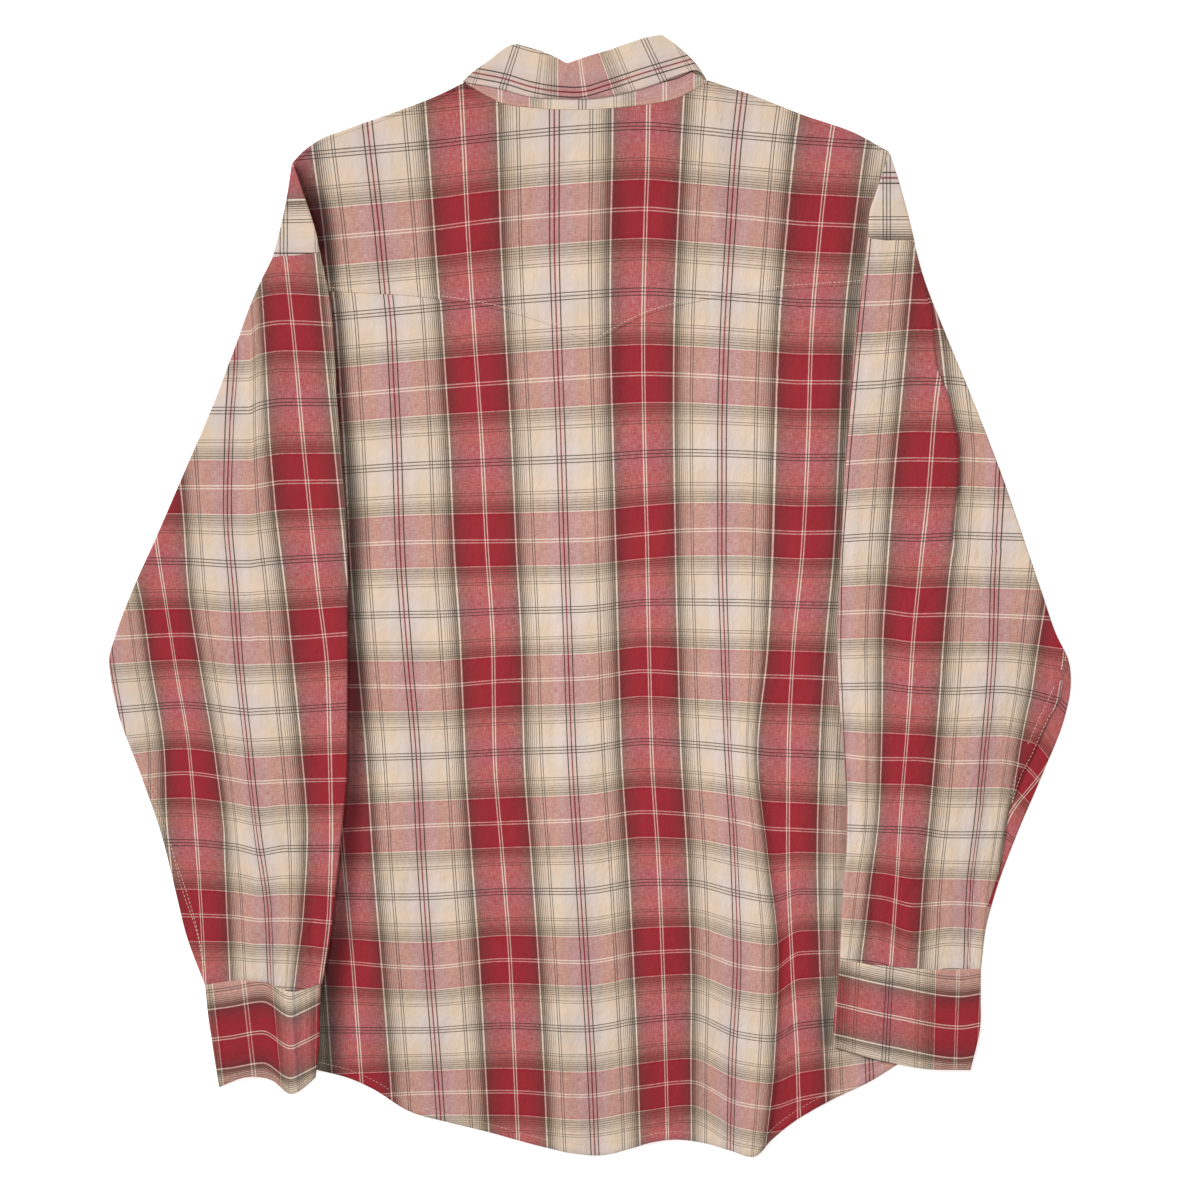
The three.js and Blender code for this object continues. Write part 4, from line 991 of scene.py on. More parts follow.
class SHIRT_OT_yoke(bpy.types.Operator):
    """Back yoke: a Coons patch from the pointed seam to neck and shoulders, turned over each shoulder"""
    bl_idname = "shirt.yoke"
    bl_label = "Yoke"

    def execute(self, context):
        size = sizes()
        south = joined(curve(YOKE_SEAM_LEFT), curve(YOKE_SEAM_RIGHT))
        north = joined(curve(SHOULDER_LEFT), curve(NECK_SEAM), curve(SHOULDER_RIGHT))
        s = shares(500, size["grid"])
        t = shares(150, size["grid"], (0.6, 1.4, 3.0), (0.8, 2.0))
        grid = coons(south, north, curve(YOKE_END_LEFT), curve(YOKE_END_RIGHT), s, t)
        lapped = 0.4 * rise(t * 150 / 1.2 + 0.3) * (1 - rise((t * 150 - 6) / 14))
        height = lambda x, y: back_height(x, y) + lapped[:, None]
        count = lambda x, y: np.maximum(checked(x, y, BACK_CHART), [-9, -1.6]) + across_seam(x, y, 1)
        parts = [laid_part(grid, height, size["cloth"], count)]
        for points in (SHOULDER_LEFT, SHOULDER_RIGHT):
            parts.append(self.wrap(curve(points), size, count))
        # The yoke's colour carries painted shade beside the flaps and sleeves
        new_cloth("back_yoke", parts, back_painted_shade)
        return {"FINISHED"}

    def wrap(self, line, size, count):
        """The yoke turned over a shoulder: a section of a rounded edge and a flat strip on the front, swept
        along the shoulder line and measured outwards from it."""
        out = np.array([-2.6, -1.2, -0.2, 0.5, 0.8, 0.8, 0.5, -0.2, -1.5, -8.0, -20.0])
        high = np.array([2.72, 2.66, 2.5, 2.1, 1.6, 1.0, 0.5, 0.15, 0.02, 0.0, 0.0])
        inner_out = np.array([-2.6, -1.5, -0.8, -0.5, -0.4, -0.4, -0.5, -0.8, -1.6, -8.0, -20.0])
        inner_high = np.array([1.5, 1.46, 1.42, 1.38, 1.36, 1.3, 1.26, 1.22, 1.2, 1.2, 1.2])
        spine = along(line, shares(140, size["grid"] * 1.5))
        outwards = leftwards(spine)
        far = travelled(np.stack([out, high], -1))

        def wall(distance, z):
            plan = spine[None] + outwards[None] * distance[:, None, None]
            points, _ = lift(plan[..., 0], plan[..., 1])
            tall = np.broadcast_to(z[:, None], plan.shape[:2]) + points * (z[:, None] > 1.4)
            return np.concatenate([plan, tall[..., None]], -1)

        virtual = spine[None] + outwards[None] * (far - 2.6)[:, None, None]
        counts = count(virtual[..., 0], virtual[..., 1])
        return faced_out(*sheet_part(wall(out, high), wall(inner_out, inner_high), counts))


class SHIRT_OT_fronts(bpy.types.Operator):
    """Both fronts, flat on the floor under the back, and their outer parts turned over the shoulders"""
    bl_idname = "shirt.fronts"
    bl_label = "Fronts and placket"

    def execute(self, context):
        size = sizes()
        for name in ("left", "right"):
            flap = FLAPS[name]
            parts = [self.front(name, size), self.flap(name, flap, size), self.turned_edge(name, flap, size)]
            new_cloth(f"front_{name}", parts)
        self.placket(size)
        return {"FINISHED"}

    def front(self, name, size):
        """A front as columns from side to centre: each runs from hem or side seam up to armhole, fold,
        shoulder or neck."""
        sign = FLAPS[name]["sign"]
        left = name == "left"
        centre = -20.4 if left else -20.0
        side = -307.0 if left else 307.0
        shoulder = SHOULDER_LEFT if left else SHOULDER_RIGHT
        line = curve(shoulder) if left else curve(shoulder)[::-1]
        low_shoulder = line - [0, 20.4]
        neck = neck_line(0.2, 80)
        neck = neck[neck[:, 0] < centre] if left else neck[neck[:, 0] > centre][::-1]
        neck = neck[np.argsort(neck[:, 0] * -sign)]
        fold = np.array(FLAPS[name]["fold"])[:3]
        armhole = np.array([(sign * 308, ARMPIT_Y), (sign * 260, 155), (sign * 236, 240)])
        rim = np.concatenate([armhole, fold, low_shoulder[np.abs(low_shoulder[:, 0]) < 228], neck])
        hem = curve(HEM, 400) if left else curve(HEM, 400)[::-1]
        low = np.concatenate([[(sign * 308, ARMPIT_Y)], hem + [0, 5]])
        columns = np.concatenate([
            np.linspace(side, sign * 284, 5)[:-1], np.linspace(sign * 284, sign * 89.6, 30)[:-1],
            np.linspace(sign * 89.6, sign * 87, 4)[:-1], np.linspace(sign * 87, centre, 16 if left else 24),
        ])

        def height_at(points, at):
            order = np.argsort(points[:, 0], kind="stable")
            return np.interp(at, points[order, 0], points[order, 1])

        top, foot = height_at(rim, columns), height_at(low, columns)
        t = np.linspace(0, 1, 90)[:, None]
        y = foot + (top - foot) * t
        x = np.broadcast_to(columns, y.shape)
        grid = np.stack([x, y], -1)
        base = lambda x, y: 1.2 + lift(x, y)[0] + (0 if left else lift(x, y)[1])
        return laid_part(grid, base, size["cloth"], lambda x, y: plain_check(x, y, -97, 286))

    def flap_top(self, name, x, y):
        """Height of a turned flap: tallest near the sleeve seam, where it dips under the sleeve, and on the
        left standing up a little along its inner edge."""
        seam = FLAPS[name]["seam"][0][1]
        heights, places = np.array(FLAPS[name]["inner"])[:, ::-1].T
        inner = 1 - np.abs(x - smooth(heights, places, y, even=True)) / 18
        stand = 3.6 * rise(inner) * rise((y - seam - 4) / 14) * (name == "left")
        up = y - seam
        return 4.35 + 2.0 * rise(1 - up / 60) + 0.5 * rise(up / 40) - 0.5 * rise(1 - up / 8) + stand

    def flap_count(self, name, x, y):
        chart = FLAP_CHARTS[name]
        warp = chart["y_count"] + (chart["y"] - y) / chart["half"]
        weft = chart["x_count"] + (x - chart["x"]) / WEFT_HALF
        return np.stack([warp, weft], -1)

    def flap(self, name, flap, size):
        """The turned part of a front: a Coons patch whose borders droop a little."""
        top = [flap["fold"][-1], flap["inner"][-1]]
        s = shares(36, 1.6, (0.5, 1.2), (0.5, 1.2))
        t = shares(70, 2.0, (0.5, 1.2), (0.5, 1.2))
        grid = coons(curve(flap["seam"]), curve(top), curve(flap["fold"]), curve(flap["inner"]), s, t)
        edge = np.minimum(s * 36, (1 - s) * 36)
        droop = 0.55 * (1 - rise(edge / 1.8))[None]
        height = lambda x, y: self.flap_top(name, x, y) - droop
        return laid_part(grid, height, size["cloth"], lambda x, y: self.flap_count(name, x, y))

    def turned_edge(self, name, flap, size):
        """Cloth turned over the outer fold of a flap: half an ellipse from the flap's top to the floor."""
        line = curve(flap["fold"])
        spine = along(line, shares(70, 2.5))
        outwards = -flap["sign"] * leftwards(spine)
        angle = np.linspace(0, math.pi, 13)[:, None]
        top = self.flap_top(name, spine[:, 0], spine[:, 1])[None] - 0.5

        def wall(reach, inset):
            middle = top / 2
            plan = spine[None] + outwards[None] * (reach * np.sin(angle) - 1.4)[..., None]
            tall = middle + (middle - inset) * np.cos(angle)
            return np.concatenate([plan, tall[..., None]], -1)

        virtual = spine[None] + outwards[None] * (angle * top / 2)[..., None]
        counts = self.flap_count(name, virtual[..., 0], virtual[..., 1])
        return faced_out(*sheet_part(wall(1.5, 0.0), wall(0.5, 1.1), counts))

    def placket(self, size):
        """Placket: a strip down the centre front, with a round hole for each snap's cap."""
        half, ring, clear = 18.9, 32, size["snap"] + 0.35
        centres = FRONT_SNAPS["top"] - FRONT_SNAPS["pitch"] * np.arange(FRONT_SNAPS["count"])
        cell = 12.0
        parts = []
        count = lambda x, y: plain_check(x, y, FRONT_CENTRE, 286)
        flat = lambda x, y: 1.2 + 0 * x
        ends = [312.0, *np.repeat(centres, 2) + np.tile([cell, -cell], len(centres)), -423.0]
        for top, foot in zip(ends[::2], ends[1::2]):
            line = [(FRONT_CENTRE - half, foot), (FRONT_CENTRE + half, foot)]
            far = [(FRONT_CENTRE - half, top), (FRONT_CENTRE + half, top)]
            rows = max(3, int((top - foot) / 8))
            sides = [curve([line[k], far[k]]) for k in (0, 1)]
            grid = coons(curve(line), curve(far), *sides, np.linspace(0, 1, 9), np.linspace(0, 1, rows))
            parts.append(laid_part(grid, flat, size["cloth"], count))
        angle = np.linspace(0, 2 * math.pi, ring + 1)
        square = np.maximum(np.abs(np.cos(angle)) / half, np.abs(np.sin(angle)) / cell)
        for middle in centres:
            radius = np.stack([np.full(ring + 1, clear), clear + 0.4 * (1 / square - clear), 1 / square])
            x, y = FRONT_CENTRE + radius * np.cos(angle), middle + radius * np.sin(angle)
            grid = np.stack([x, y], -1)[:, ::-1]
            top = surface_grid(grid, flat)
            parts.append(sheet_part(top, top - [0, 0, size["cloth"]], count(x[:, ::-1], y[:, ::-1])))
        new_cloth("front_placket", parts)


class SHIRT_OT_collar(bpy.types.Operator):
    """Collar: the fall's back with its rolled top edge, its two points underneath, and the stand"""
    bl_idname = "shirt.collar"
    bl_label = "Collar"

    def execute(self, context):
        size = sizes()
        self.fall(size)
        self.stand(size)
        return {"FINISHED"}

    def fall_counts(self, x, y):
        """The fall's warp runs along it, so it is counted up from the red line in its cream stripe."""
        warp = 1 + (y - smooth(*FALL_LINE, x)) / WARP_HALF
        weft = charted(x, y, FALL_BANDS)
        return np.stack([warp, weft], -1)

    def fall(self, size):
        """Fall: rows from the free edge over a soft bulge to the top, then round the roll and under."""
        free, top = curve(FALL_EDGE), joined(
            curve(COLLAR_TOP[:5], 60), curve(COLLAR_TOP[4:8], 60), curve(COLLAR_TOP[7:13], 90),
            curve(COLLAR_TOP[12:], 60))
        s = shares(190, 1.6)
        low, high = along(free, s), along(top, s)
        rows = shares(40, 1.3, (0.4, 1.0, 2.0), ())
        roll = np.linspace(0, math.pi, 12)[1:]
        tail = np.array([2.0, 4.0])
        t = rows[:, None]
        plan = (1 - t[..., None]) * low[None] + t[..., None] * high[None]
        bulge = 0.85 * np.sin(math.pi * t) * (1 - (2 * s[None] - 1) ** 4)
        dent = creased(plan[..., 0], plan[..., 1], COLLAR_CREASES)
        edge_fall = -0.5 * (1 - rise(t * 40 / 1.2)) + 0.3 * (1 - rise((t * 40 - 5) / 1.5))
        z = 5.7 + bulge + dent + edge_fall
        ends = rise((np.abs(2 * s - 1) - 0.62) / 0.3)
        foot = 3.3 * (1 - ends) + 1.3 * ends
        across = high - low
        across /= np.maximum(np.hypot(*across.T), 1)[:, None]
        radius = (z[-1] - foot) / 2
        middle = (z[-1] + foot) / 2
        reach = np.minimum(radius, 1.2)

        def rolled(depth, inset):
            plan_roll = high[None] + across[None] * (reach * np.sin(roll)[:, None] * depth)[..., None]
            tall = middle + (radius - inset) * np.cos(roll)[:, None]
            plan_tail = high[None] - across[None] * tail[:, None, None]
            last = np.broadcast_to(foot + inset, (len(tail), len(s)))
            return np.concatenate([plan_roll, plan_tail]), np.concatenate([tall, last])

        outer_plan, outer_tall = rolled(1.0, 0.0)
        inner_plan, inner_tall = rolled(0.3, 1.1)
        with_height = lambda points, tall: np.concatenate([points, tall[..., None]], -1)
        outer = np.concatenate([with_height(plan, z), with_height(outer_plan, outer_tall)])
        inner = np.concatenate([with_height(plan, z - 1.15), with_height(inner_plan, inner_tall)])
        beyond = np.concatenate([radius * roll[:, None], radius * math.pi + tail[:, None] + 0 * s])
        virtual = np.concatenate([plan, high[None] + across[None] * beyond[..., None]])
        counts = self.fall_counts(virtual[..., 0], virtual[..., 1])
        parts = [faced_out(*sheet_part(outer, inner, counts))]
        parts += [self.wing(sign, size) for sign in (-1, 1)]
        new_cloth("collar_fall", parts)

    def wing(self, sign, size):
        """A collar point, flat on the floor: from its tip out to the collar's end and in to the crest."""
        left = sign < 0
        tip = (FRONT_CENTRE + sign * 46, 282)
        edge = (FRONT_CENTRE + sign * 72, 330)
        end = COLLAR_TOP[0] if left else COLLAR_TOP[-1]
        crest = COLLAR_TOP[4] if left else COLLAR_TOP[12]
        upper = COLLAR_TOP[0:5] if left else COLLAR_TOP[12:][::-1]
        parting = (FRONT_CENTRE + sign * 1.5, 346)
        bend = (FRONT_CENTRE + sign * 40, 376)
        s, t = np.linspace(0, 1, 16), np.linspace(0, 1, 24)
        outside, inside = curve([tip, edge, end]), curve([parting, bend, crest])
        grid = coons(curve([tip, parting]), curve(upper), outside, inside, s, t)
        count = lambda x, y: plain_check(x, y, 0, 350, crosswise=True)
        return laid_part(grid, lambda x, y: 1.2 + 0 * x, size["cloth"], count)

    def stand(self, size):
        """Stand: a curved band in front, and at the back a strip up inside the fall."""
        seam = curve([(x, y - 0.4) for x, y in NECK_SEAM])
        top = curve([
            (-72, 408), (-60, 416), (-46, 414), (-18, 402.5), (0, 407.5), (30, 417), (46, 421.5), (56, 420),
            (70, 409),
        ])
        s, t = shares(180, 2.2), shares(30, 2.0, (0.5, 1.2))
        grid = coons(seam, top, curve([seam[0], top[0]]), curve([seam[-1], top[-1]]), s, t)
        bands = ((430, 370), [(0, (-69.3, -69.3)), (1, (-5.9, -5.9)), (2, (57.5, 57.5))])

        def count(x, y):
            warp = 0.74 + (y - smooth(*np.array(NECK_SEAM).T, x)) / WARP_HALF
            return np.stack([warp, charted(x, y, bands)], -1)

        under_fall = lambda x, y: 4.45 + 0 * x
        angle = np.linspace(math.pi, 2 * math.pi, 60)
        outer = neck_line(-0.2, 60)
        inner = np.stack([FRONT_CENTRE + 71 * np.cos(angle), 412 + 72 * np.sin(angle)], -1)
        band = coons(outer, inner, curve([outer[0], inner[0]]), curve([outer[-1], inner[-1]]),
                     np.linspace(0, 1, 70), np.linspace(0, 1, 12))
        parts = [
            laid_part(grid, under_fall, size["cloth"], count),
            laid_part(band, lambda x, y: 2.7 + 0 * x, size["cloth"], count),
        ]
        new_cloth("collar_stand", parts)


def pinned(first, last, lines, counts):
    """Columns from first to last with a pair of them 0.6 mm apart along each line between, so that an edge
    of cloth is sharp there. Counts are the columns in each gap."""
    columns = []
    start = first
    for line, count in zip([*lines, None], counts):
        end = last if line is None else np.clip(line, start + 1.0, last - 1.0) - 0.3
        share = np.linspace(0, 1, count)
        columns.append(start[:, None] + (end - start)[:, None] * share)
        start = end + 0.6
    return np.concatenate(columns, 1)


def tube_walls(side, table, creases, size, on_body, sag, rows, cuff):
    """A sleeve or cuff laid flat. Rows run from head to hand. Each is a loop: out along the lower wall from
    the outer edge to the inner edge, and back along the upper wall. The upper wall is a rounded step up at
    each edge, and between them it goes from the outer edge's height to the height it has on the body."""
    sign = -1 if side == "left" else 1
    table = np.array(table)
    length = travelled((table[:, :2] + table[:, 2:4]) / 2)
    at = rows * length[-1]
    out_x, out_y, in_x, in_y, edge = [smooth(length, table[:, k], at)[:, None] for k in range(5)]
    width = np.abs(in_x - out_x)
    near = np.broadcast_to([0.0, 0.12, 0.45, 1.0, 1.9], (len(rows), 5))
    level = ((out_y + in_y) / 2)[:, 0]
    lines = [] if cuff else [
        np.abs(smooth(*line, level, even=True) - out_x[:, 0]) for line in SLEEVE_LINES[side]]
    columns = [42] if cuff else {"left": [18, 26], "right": [7, 14, 26]}[side]
    inside = pinned(np.full(len(rows), 3.0), width[:, 0] - 3.0, lines, columns)
    distance = np.concatenate([near, inside, width - near[:, ::-1]], 1)
    share = distance / width
    sag_share, sag_depth = CUFF_SAG[side]
    wander = smooth(sag_share, sag_depth, np.clip(share, 0, 1))
    x = out_x + (in_x - out_x) * share
    y = out_y + (in_y - out_y) * share + sag(at, length[-1])[:, None] * wander
    to_edge = np.minimum(distance, width - distance)
    body_x = np.interp(out_y, [-311, ARMPIT_Y, 150, 262], [285, 308, 258, 236])
    off_body = rise((np.abs(x) - body_x) / 7)
    low = (ON_BODY * (1 - off_body) if on_body is None else np.full(x.shape, on_body))
    if on_body is None:
        low = np.maximum(low, ON_BODY * rise((40 - (length[-1] - at)) / 38)[:, None])
    top_flat = 6.0 + 0.6 * (on_body is not None)
    climb = rise(distance / np.maximum(width * 0.55, 1))
    high = edge + (top_flat - edge) * climb
    to_hand = (length[-1] - at)[:, None]
    ends = 1 if cuff else rise((at / 14)[:, None] + 0.3) * rise(to_hand / 4 + 0.15)
    high = high + creased(x, y, creases) * rise(to_edge / 5) * ends
    if not cuff:
        high = high - 0.6 * (1 - rise(to_hand / 3))
    for lap in [] if cuff else SLEEVE_CHARTS[side].get("beyond", []):
        heights, places = lap["edge"]
        past = sign * (x - smooth(heights, places, y, even=True))
        span = rise((y - min(heights)) / 16) * rise((max(heights) - y) / 26)
        high = high - lap["drop"] * rise(past / 0.5 + 0.5) * rise(1.6 - past / 26) * span
    middle = (low + edge * 0.5) / 2 + high / 4
    middle = np.minimum(np.maximum(middle, low + 0.3), high - 0.3)
    bend = np.sqrt(np.clip(1 - (1 - np.clip(to_edge / 1.3, 0, 1)) ** 2, 0, 1))
    upper = middle + (high - middle) * bend
    lower = middle - (middle - low) * bend
    wall = size["cloth"]
    thin_up = np.maximum(upper - wall, middle + 0.12)
    thin_low = np.minimum(lower + wall, middle - 0.12)
    draw = 1 - np.clip(to_edge / 6, 0, 1)
    inwards = np.where(distance < width / 2, 1, -1) * draw * wall * 0.9
    inner_x = x - sign * inwards
    clockwise = lambda a, b: np.concatenate([a, b[:, ::-1][:, 1:-1]], 1)
    lower[:, [0, -1]] = middle[:, [0, -1]]
    thin_low[:, [0, -1]] = middle[:, [0, -1]]
    outer = np.stack([clockwise(x, x), clockwise(y, y), clockwise(lower, upper)], -1)
    inner = np.stack([clockwise(inner_x, inner_x), clockwise(y, y), clockwise(thin_low, thin_up)], -1)
    return outer, inner


class SHIRT_OT_sleeves(bpy.types.Operator):
    """Sleeves: flat tubes open at both ends, from a table of rows between head and cuff"""
    bl_idname = "shirt.sleeves"
    bl_label = "Sleeves"

    def execute(self, context):
        size = sizes()
        for side in ("left", "right"):
            rows = shares(570, size["grid"], (0.6, 1.4), (0.6, 1.4, 3))
            fade = lambda at, length: rise((SAG_REACH - (length - at)) / SAG_REACH)
            outer, inner = tube_walls(
                side, SLEEVES[side], SLEEVE_CREASES[side], size, None, fade, rows, False)
            sign = -1 if side == "left" else 1
            counts = checked(outer[..., 0], outer[..., 1], SLEEVE_CHARTS[side], sign)
            tube = tube_part(outer, inner, counts)
            new_cloth(f"sleeve_{side}", [tube])
        return {"FINISHED"}


class SHIRT_OT_cuffs(bpy.types.Operator):
    """Cuffs: flat bands, open at both ends, that lie on the hem's corners"""
    bl_idname = "shirt.cuffs"
    bl_label = "Cuffs"

    def execute(self, context):
        size = sizes()
        for side in ("left", "right"):
            rows = shares(78, 2.0, (0.4, 1.0, 1.8, 5.0, 6.0), (0.4, 1.0, 1.8, 5.0, 6.0))
            grown = lambda at, length: 1 + CUFF_SAG_GROWTH * at / length
            outer, inner = tube_walls(side, CUFFS[side], CUFF_CREASES[side], size, ON_BODY, grown, rows, True)
            ends = np.minimum(rows, 1 - rows) * 78
            rounding = np.where(rows < 0.5, 0.12, 0.7) * (1 - rise(ends / 1.5))
            rounding = rounding + 0.15 * (rise((ends - 4.6) / 0.8) - rise((ends - 6) / 0.8))
            top = outer[..., 2] > 4.6
            outer[..., 2] -= top * rounding[:, None] * rise((outer[..., 2] - 4.6) / 1.0)
            counts = checked(outer[..., 0], outer[..., 1], CUFF_CHARTS[side])[..., ::-1]
            tube = tube_part(outer, inner, counts)
            new_cloth(f"cuff_{side}", [tube])
        return {"FINISHED"}


def turned_part(profile, x, y, base, segments=LATHE_SIDES):
    """A lathe: a profile of (radius, height) points carried round an upright axis, and capped at its ends."""
    profile = np.asarray(profile, float)
    angle = np.linspace(0, 2 * math.pi, segments, endpoint=False)
    radius = np.maximum(profile[:, :1], 0.02)
    points = np.stack([
        x + radius * np.cos(angle), y + radius * np.sin(angle),
        np.broadcast_to(base + profile[:, 1:], (len(profile), segments)),
    ], -1)
    index = np.arange(len(profile) * segments).reshape(len(profile), segments)
    a, d = index[:-1], index[1:]
    faces = np.stack([a, np.roll(a, -1, 1), np.roll(d, -1, 1), d], -1).reshape(-1, 4)
    half = segments // 2
    caps = []
    for ring in (index[0], index[-1]):
        back = ring[::-1]
        caps.append(np.stack([ring[:half - 1], ring[1:half], back[1:half], back[:half - 1]], -1))
    faces = np.concatenate([faces, caps[0][:, ::-1], caps[1]])
    flat = points.reshape(-1, 3)
    return faced_out(flat, faces, np.zeros((len(flat), 2)))


class SHIRT_OT_snaps(bpy.types.Operator):
    """Snaps: pearl caps in metal rims, face down in the placket and in the cuffs' lower walls"""
    bl_idname = "shirt.snaps"
    bl_label = "Snaps"

    def execute(self, context):
        r = sizes()["snap"]
        rim = [
            (0.72 * r, 0.30), (0.74 * r, 0.05), (0.86 * r, 0.0), (0.97 * r, 0.12), (r, 0.45), (r, 0.9),
            (0.9 * r, 1.18), (0.2 * r, 1.2), (0.2 * r, 0.9), (0.7 * r, 0.85),
        ]
        cap = [(0.0, 0.10), (0.35 * r, 0.11), (0.6 * r, 0.17), (0.72 * r, 0.32), (0.72 * r, 0.8), (0.0, 0.82)]
        for name, (x, y, z) in self.places():
            points, faces, counts = turned_part(rim + rim[:1], x, y, z)
            faces = faces[:len(rim) * LATHE_SIDES]
            metal = (points, faces, counts)
            pearl = turned_part(cap, x, y, z)
            looks = [material("snap_metal"), material("pearl_cap")]
            piece = new_piece(f"{name}_cap", [metal, pearl], looks)
            slots = np.repeat(np.array([0, 1], dtype=np.int32), [len(faces), len(pearl[1])])
            piece.data.polygons.foreach_set("material_index", slots)
            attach(piece, "root")
            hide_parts(name)
        return {"FINISHED"}

    def places(self):
        """Each snap's node, and the middle of its face."""
        for name in sorted(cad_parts):
            if "snap" in name:
                low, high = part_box(name)
                yield name, ((low[0] + high[0]) / 2 / MM, (low[1] + high[1]) / 2 / MM, low[2] / MM)


def stitched(line, size, thick=1.0):
    """Stitches along a line of (x, y, z) points: each is a short lozenge bar, and they are joined."""
    pitch = size["stitch"] * 1.3
    length = travelled(line)
    count = int(length[-1] / pitch)
    starts = (np.arange(count) + 0.15) * pitch
    ends = starts + size["stitch"]
    at = lambda where: np.stack([np.interp(where, length, line[:, k]) for k in range(3)], -1)
    a, b = at(starts), at(ends)
    ahead = b - a
    ahead /= np.maximum(np.linalg.norm(ahead, axis=1), 1e-6)[:, None]
    side = np.stack([-ahead[:, 1], ahead[:, 0], np.zeros(count)], -1)
    up = np.array([0.0, 0.0, 1.0])
    r = size["thread"] / 2 * thick
    rings = []
    for share, swell in ((0.0, 0.35), (0.2, 1.0), (0.8, 1.0), (1.0, 0.35)):
        centre = a + (b - a) * share + up * (r * 0.7 if 0 < share < 1 else -r * 0.5)
        for angle in np.arange(6) * math.pi / 3:
            wide, tall = r * 1.25 * swell * math.cos(angle), r * swell * math.sin(angle)
            rings.append(centre + side * wide + up * tall)
    points = np.stack(rings, 1)
    index = np.arange(24).reshape(4, 6)
    ahead_of = np.roll(index, -1, 1)
    quads = [np.stack([index[k], ahead_of[k], ahead_of[k + 1], index[k + 1]], -1) for k in range(3)]
    caps = np.array([[5, 4, 1, 0], [4, 3, 2, 1], [18, 19, 22, 23], [19, 20, 21, 22]])
    one = np.concatenate(quads + [caps])
    faces = (one[None] + 24 * np.arange(count)[:, None, None]).reshape(-1, 4)
    flat = points.reshape(-1, 3)
    return faced_out(flat, faces, np.zeros((len(flat), 2)))


def on_cloth(piece_names, plan, clearance=0.05):
    """A line in plan lifted on to the upper wall of the pieces below it."""
    tops = []
    for name in piece_names:
        mesh = bpy.data.objects[name].data
        points = np.empty(len(mesh.vertices) * 3, dtype=np.float32)
        mesh.vertices.foreach_get("co", points)
        tops.append(points.reshape(-1, 3) / MM)
    cloud = np.concatenate(tops)
    low, high = plan.min(0) - 8, plan.max(0) + 8
    cloud = cloud[((cloud[:, :2] > low) & (cloud[:, :2] < high)).all(1)]
    heights = np.empty(len(plan))
    for start in range(0, len(plan), 64):
        part = plan[start:start + 64]
        distance = np.hypot(part[:, None, 0] - cloud[None, :, 0], part[:, None, 1] - cloud[None, :, 1])
        close = np.where(distance < 3.0, cloud[None, :, 2] - 0.15 * distance, -1)
        heights[start:start + 64] = close.max(1)
    kernel = np.ones(5) / 5
    padded = np.concatenate([heights[:1].repeat(2), heights, heights[-1:].repeat(2)])
    return np.concatenate([plan, (np.convolve(padded, kernel, "valid") + clearance)[:, None]], 1)


def inset(line, distance):
    """A line moved sideways to its left."""
    return line + distance * leftwards(line)


UNDERARM = {
    "left": [
        [(-349, -120), (-339.6, -138.2), (-325.9, -178.3), (-314.9, -222.9), (-302.1, -260.6), (-297, -290)],
        [(-342, -140), (-333.4, -162.9), (-322, -195), (-306, -242.9), (-296, -286)],
    ],
    "right": [
        [(361.5, -60.4), (353.4, -78.2), (345.7, -94.3), (338.8, -110.5), (331.9, -124.4), (326.5, -142.1),
         (323.4, -158.2)],
        [(360.4, -79.7), (349.6, -100.5), (338.8, -124.4), (332.6, -136.3), (327.6, -150.5), (324.9, -160.5)],
    ],
}


class SHIRT_OT_stitching(bpy.types.Operator):
    """Topstitching: yoke, hem, neck, underarm seams and cuffs, as joined stitches on the cloth"""
    bl_idname = "shirt.stitching"
    bl_label = "Stitching"

    def execute(self, context):
        size = sizes()
        seam = joined(curve(YOKE_SEAM_LEFT), curve(YOKE_SEAM_RIGHT)) + [0, 3.0]
        seam = seam[np.abs(seam[:, 0]) < 215]
        rows = {
            "yoke_stitches": (["back_yoke_cloth"], [seam], 0.9),
            "hem_stitches": (["back_panel_cloth"], [inset(curve(HEM, 400), 6.2)], 0.45),
            "neck_stitches": (["collar_stand_cloth"], [inset(curve(NECK_SEAM), 1.3)], 0.6),
        }
        for side in ("left", "right"):
            sleeve = f"sleeve_{side}_cloth"
            seams = [curve(points, 80) for points in UNDERARM[side]]
            rows[f"underarm_{side}_stitches"] = ([sleeve], seams, 0.85)
            rows[f"cuff_{side}_stitches"] = ([f"cuff_{side}_cloth"], [self.cuff_line(side)], 0.6)
        for name, (below, lines, thick) in rows.items():
            laid = [on_cloth(below, along(line, shares(len(line), 1.0))) for line in lines]
            parts = [stitched(line, size, thick) for line in laid]
            piece = new_piece(name, parts, [material("sewing thread")])
            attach(piece, "root")
        return {"FINISHED"}

    def cuff_line(self, side):
        """Line of stitching along the cuff's edge at the hand, a little inside it."""
        out_x, out_y, in_x, in_y, _ = CUFFS[side][-1]
        share = np.linspace(0.03, 0.97, 60)
        wander = smooth(*CUFF_SAG[side], share)
        x = out_x + (in_x - out_x) * share
        y = out_y + (in_y - out_y) * share + (1 + CUFF_SAG_GROWTH) * wander + 4.6
        return np.stack([x, y], -1)[::-1 if side == "left" else 1]


# Stage: strengths of its lights, and places in metres
FLOOR_HALF, FLOOR_Z, FLOOR_GLOW = 40.0, -0.0002, 0.62
SKY = 0.33
SUN = {"energy": 2.12, "angle": math.radians(22), "turn": (math.radians(-28), math.radians(-38), 0)}
FILL = {"energy": 1.68, "size": 0.4, "place": (0, 0.06, 0.75)}
SEEN_WIDTH, SEEN_MIDDLE = 0.924, (0.0077, -0.0027)
CLOTH_LEVEL = 0.004


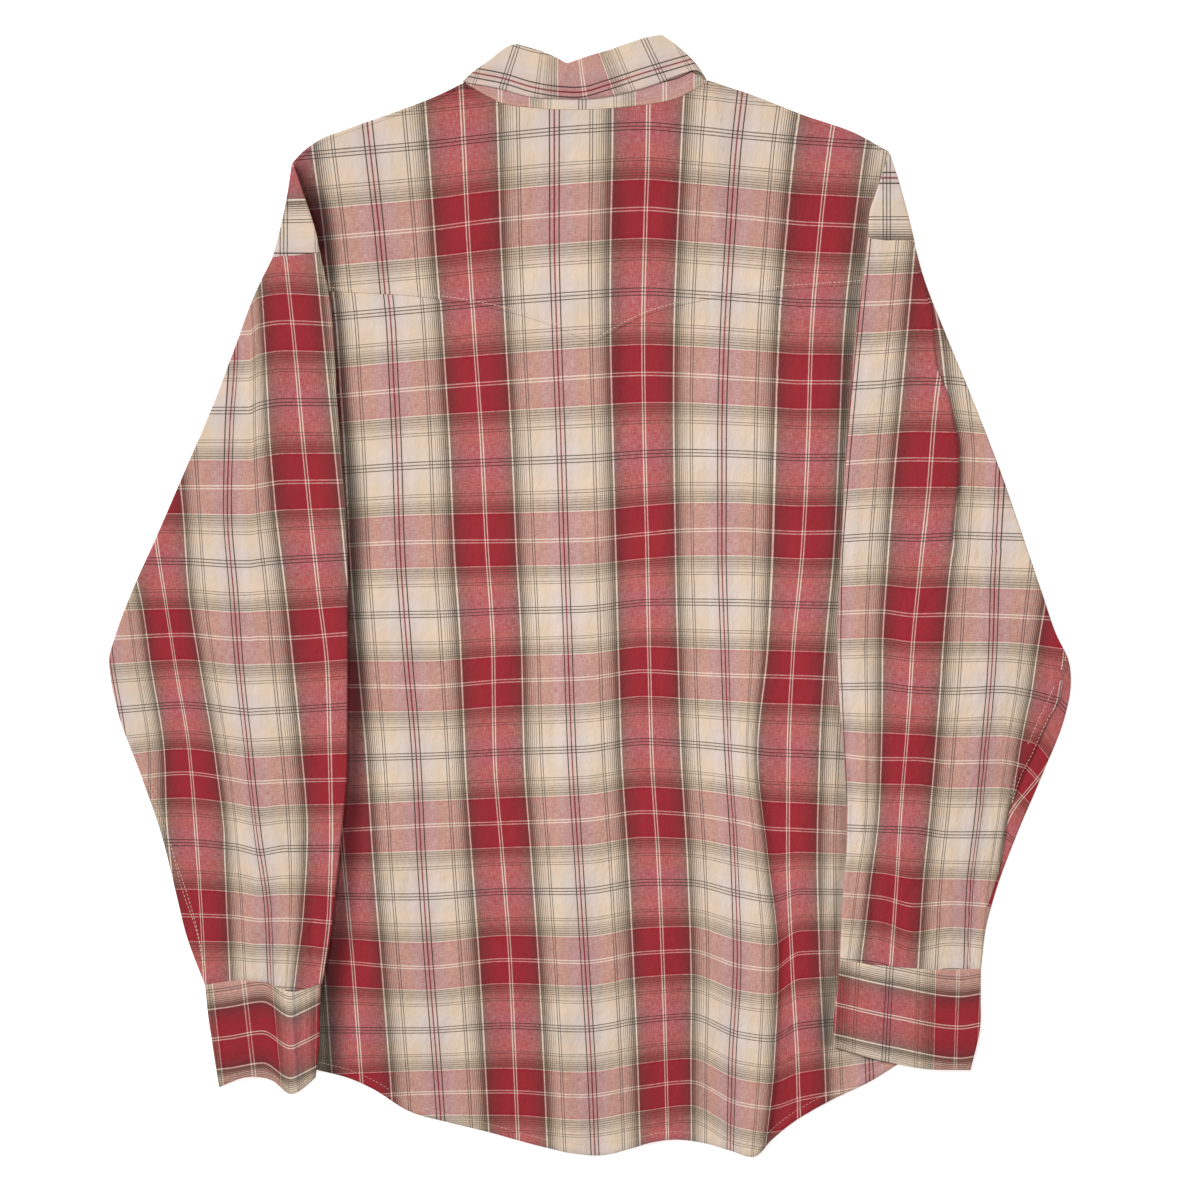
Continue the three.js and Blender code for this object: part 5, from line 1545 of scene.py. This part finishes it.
class SHIRT_OT_stage(bpy.types.Operator):
    """Stage: white floor, light from all round, from the upper left and from above, and a camera overhead"""
    bl_idname = "shirt.stage"
    bl_label = "Stage"

    def execute(self, context):
        scene = context.scene
        scene.view_settings.view_transform = "Standard"
        floor_look = bpy.data.materials.new("white_floor")
        floor_look.use_nodes = True
        shader = floor_look.node_tree.nodes["Principled BSDF"]
        shader.inputs["Base Color"].default_value = (0.97, 0.97, 0.97, 1)
        shader.inputs["Roughness"].default_value = 0.9
        shader.inputs["Specular IOR Level"].default_value = 0.0
        shader.inputs["Emission Color"].default_value = (1, 1, 1, 1)
        shader.inputs["Emission Strength"].default_value = FLOOR_GLOW
        floor = bpy.data.meshes.new("floor")
        corners = [(x * FLOOR_HALF, y * FLOOR_HALF, FLOOR_Z) for x, y in ((-1, -1), (1, -1), (1, 1), (-1, 1))]
        floor.from_pydata(corners, [], [(0, 1, 2, 3)])
        ground = bpy.data.objects.new("floor", floor)
        floor.materials.append(floor_look)
        scene.collection.objects.link(ground)

        world = bpy.data.worlds.new("studio")
        world.use_nodes = True
        world.node_tree.nodes["Background"].inputs[0].default_value = (1, 1, 1, 1)
        world.node_tree.nodes["Background"].inputs[1].default_value = SKY
        scene.world = world
        key = bpy.data.lights.new("key", "SUN")
        key.energy = SUN["energy"]
        key.angle = SUN["angle"]
        lamp = bpy.data.objects.new("key", key)
        lamp.rotation_euler = SUN["turn"]
        scene.collection.objects.link(lamp)

        fill = bpy.data.lights.new("fill", "AREA")
        fill.shape = "DISK"
        fill.size = FILL["size"]
        fill.energy = FILL["energy"]
        overhead = bpy.data.objects.new("fill", fill)
        overhead.location = FILL["place"]
        overhead.visible_camera = False
        scene.collection.objects.link(overhead)

        height = scene.shirt_sizes.camera_height
        camera = bpy.data.cameras.new("camera")
        camera.sensor_width = 36.0
        camera.lens = camera.sensor_width * (height - CLOTH_LEVEL) / SEEN_WIDTH
        eye = bpy.data.objects.new("camera", camera)
        eye.location = (*SEEN_MIDDLE, height)
        scene.collection.objects.link(eye)
        scene.camera = eye
        return {"FINISHED"}


PIECES = (
    SHIRT_OT_fronts, SHIRT_OT_back_panel, SHIRT_OT_yoke, SHIRT_OT_collar, SHIRT_OT_sleeves, SHIRT_OT_cuffs,
    SHIRT_OT_snaps, SHIRT_OT_stitching, SHIRT_OT_stage,
)


class SHIRT_PT_panel(bpy.types.Panel):
    """Sidebar panel with a button for each piece"""
    bl_idname = "SHIRT_PT_panel"
    bl_label = "Shirt"
    bl_space_type = "VIEW_3D"
    bl_region_type = "UI"
    bl_category = "Shirt"

    def draw(self, context):
        for piece in PIECES:
            self.layout.operator(piece.bl_idname)


CLASSES = (ShirtSizes, ShirtColours, *PIECES, SHIRT_PT_panel)


def register():
    for each in CLASSES:
        bpy.utils.register_class(each)
    bpy.types.Scene.shirt_sizes = bpy.props.PointerProperty(type=ShirtSizes)
    bpy.types.Scene.shirt_colours = bpy.props.PointerProperty(type=ShirtColours)


def unregister():
    del bpy.types.Scene.shirt_colours
    del bpy.types.Scene.shirt_sizes
    for each in reversed(CLASSES):
        bpy.utils.unregister_class(each)


def main():
    """Builds the shirt and its stage."""
    register()
    for piece in PIECES:
        group, name = piece.bl_idname.split(".")
        getattr(getattr(bpy.ops, group), name)()


if __name__ == "__main__":
    main()
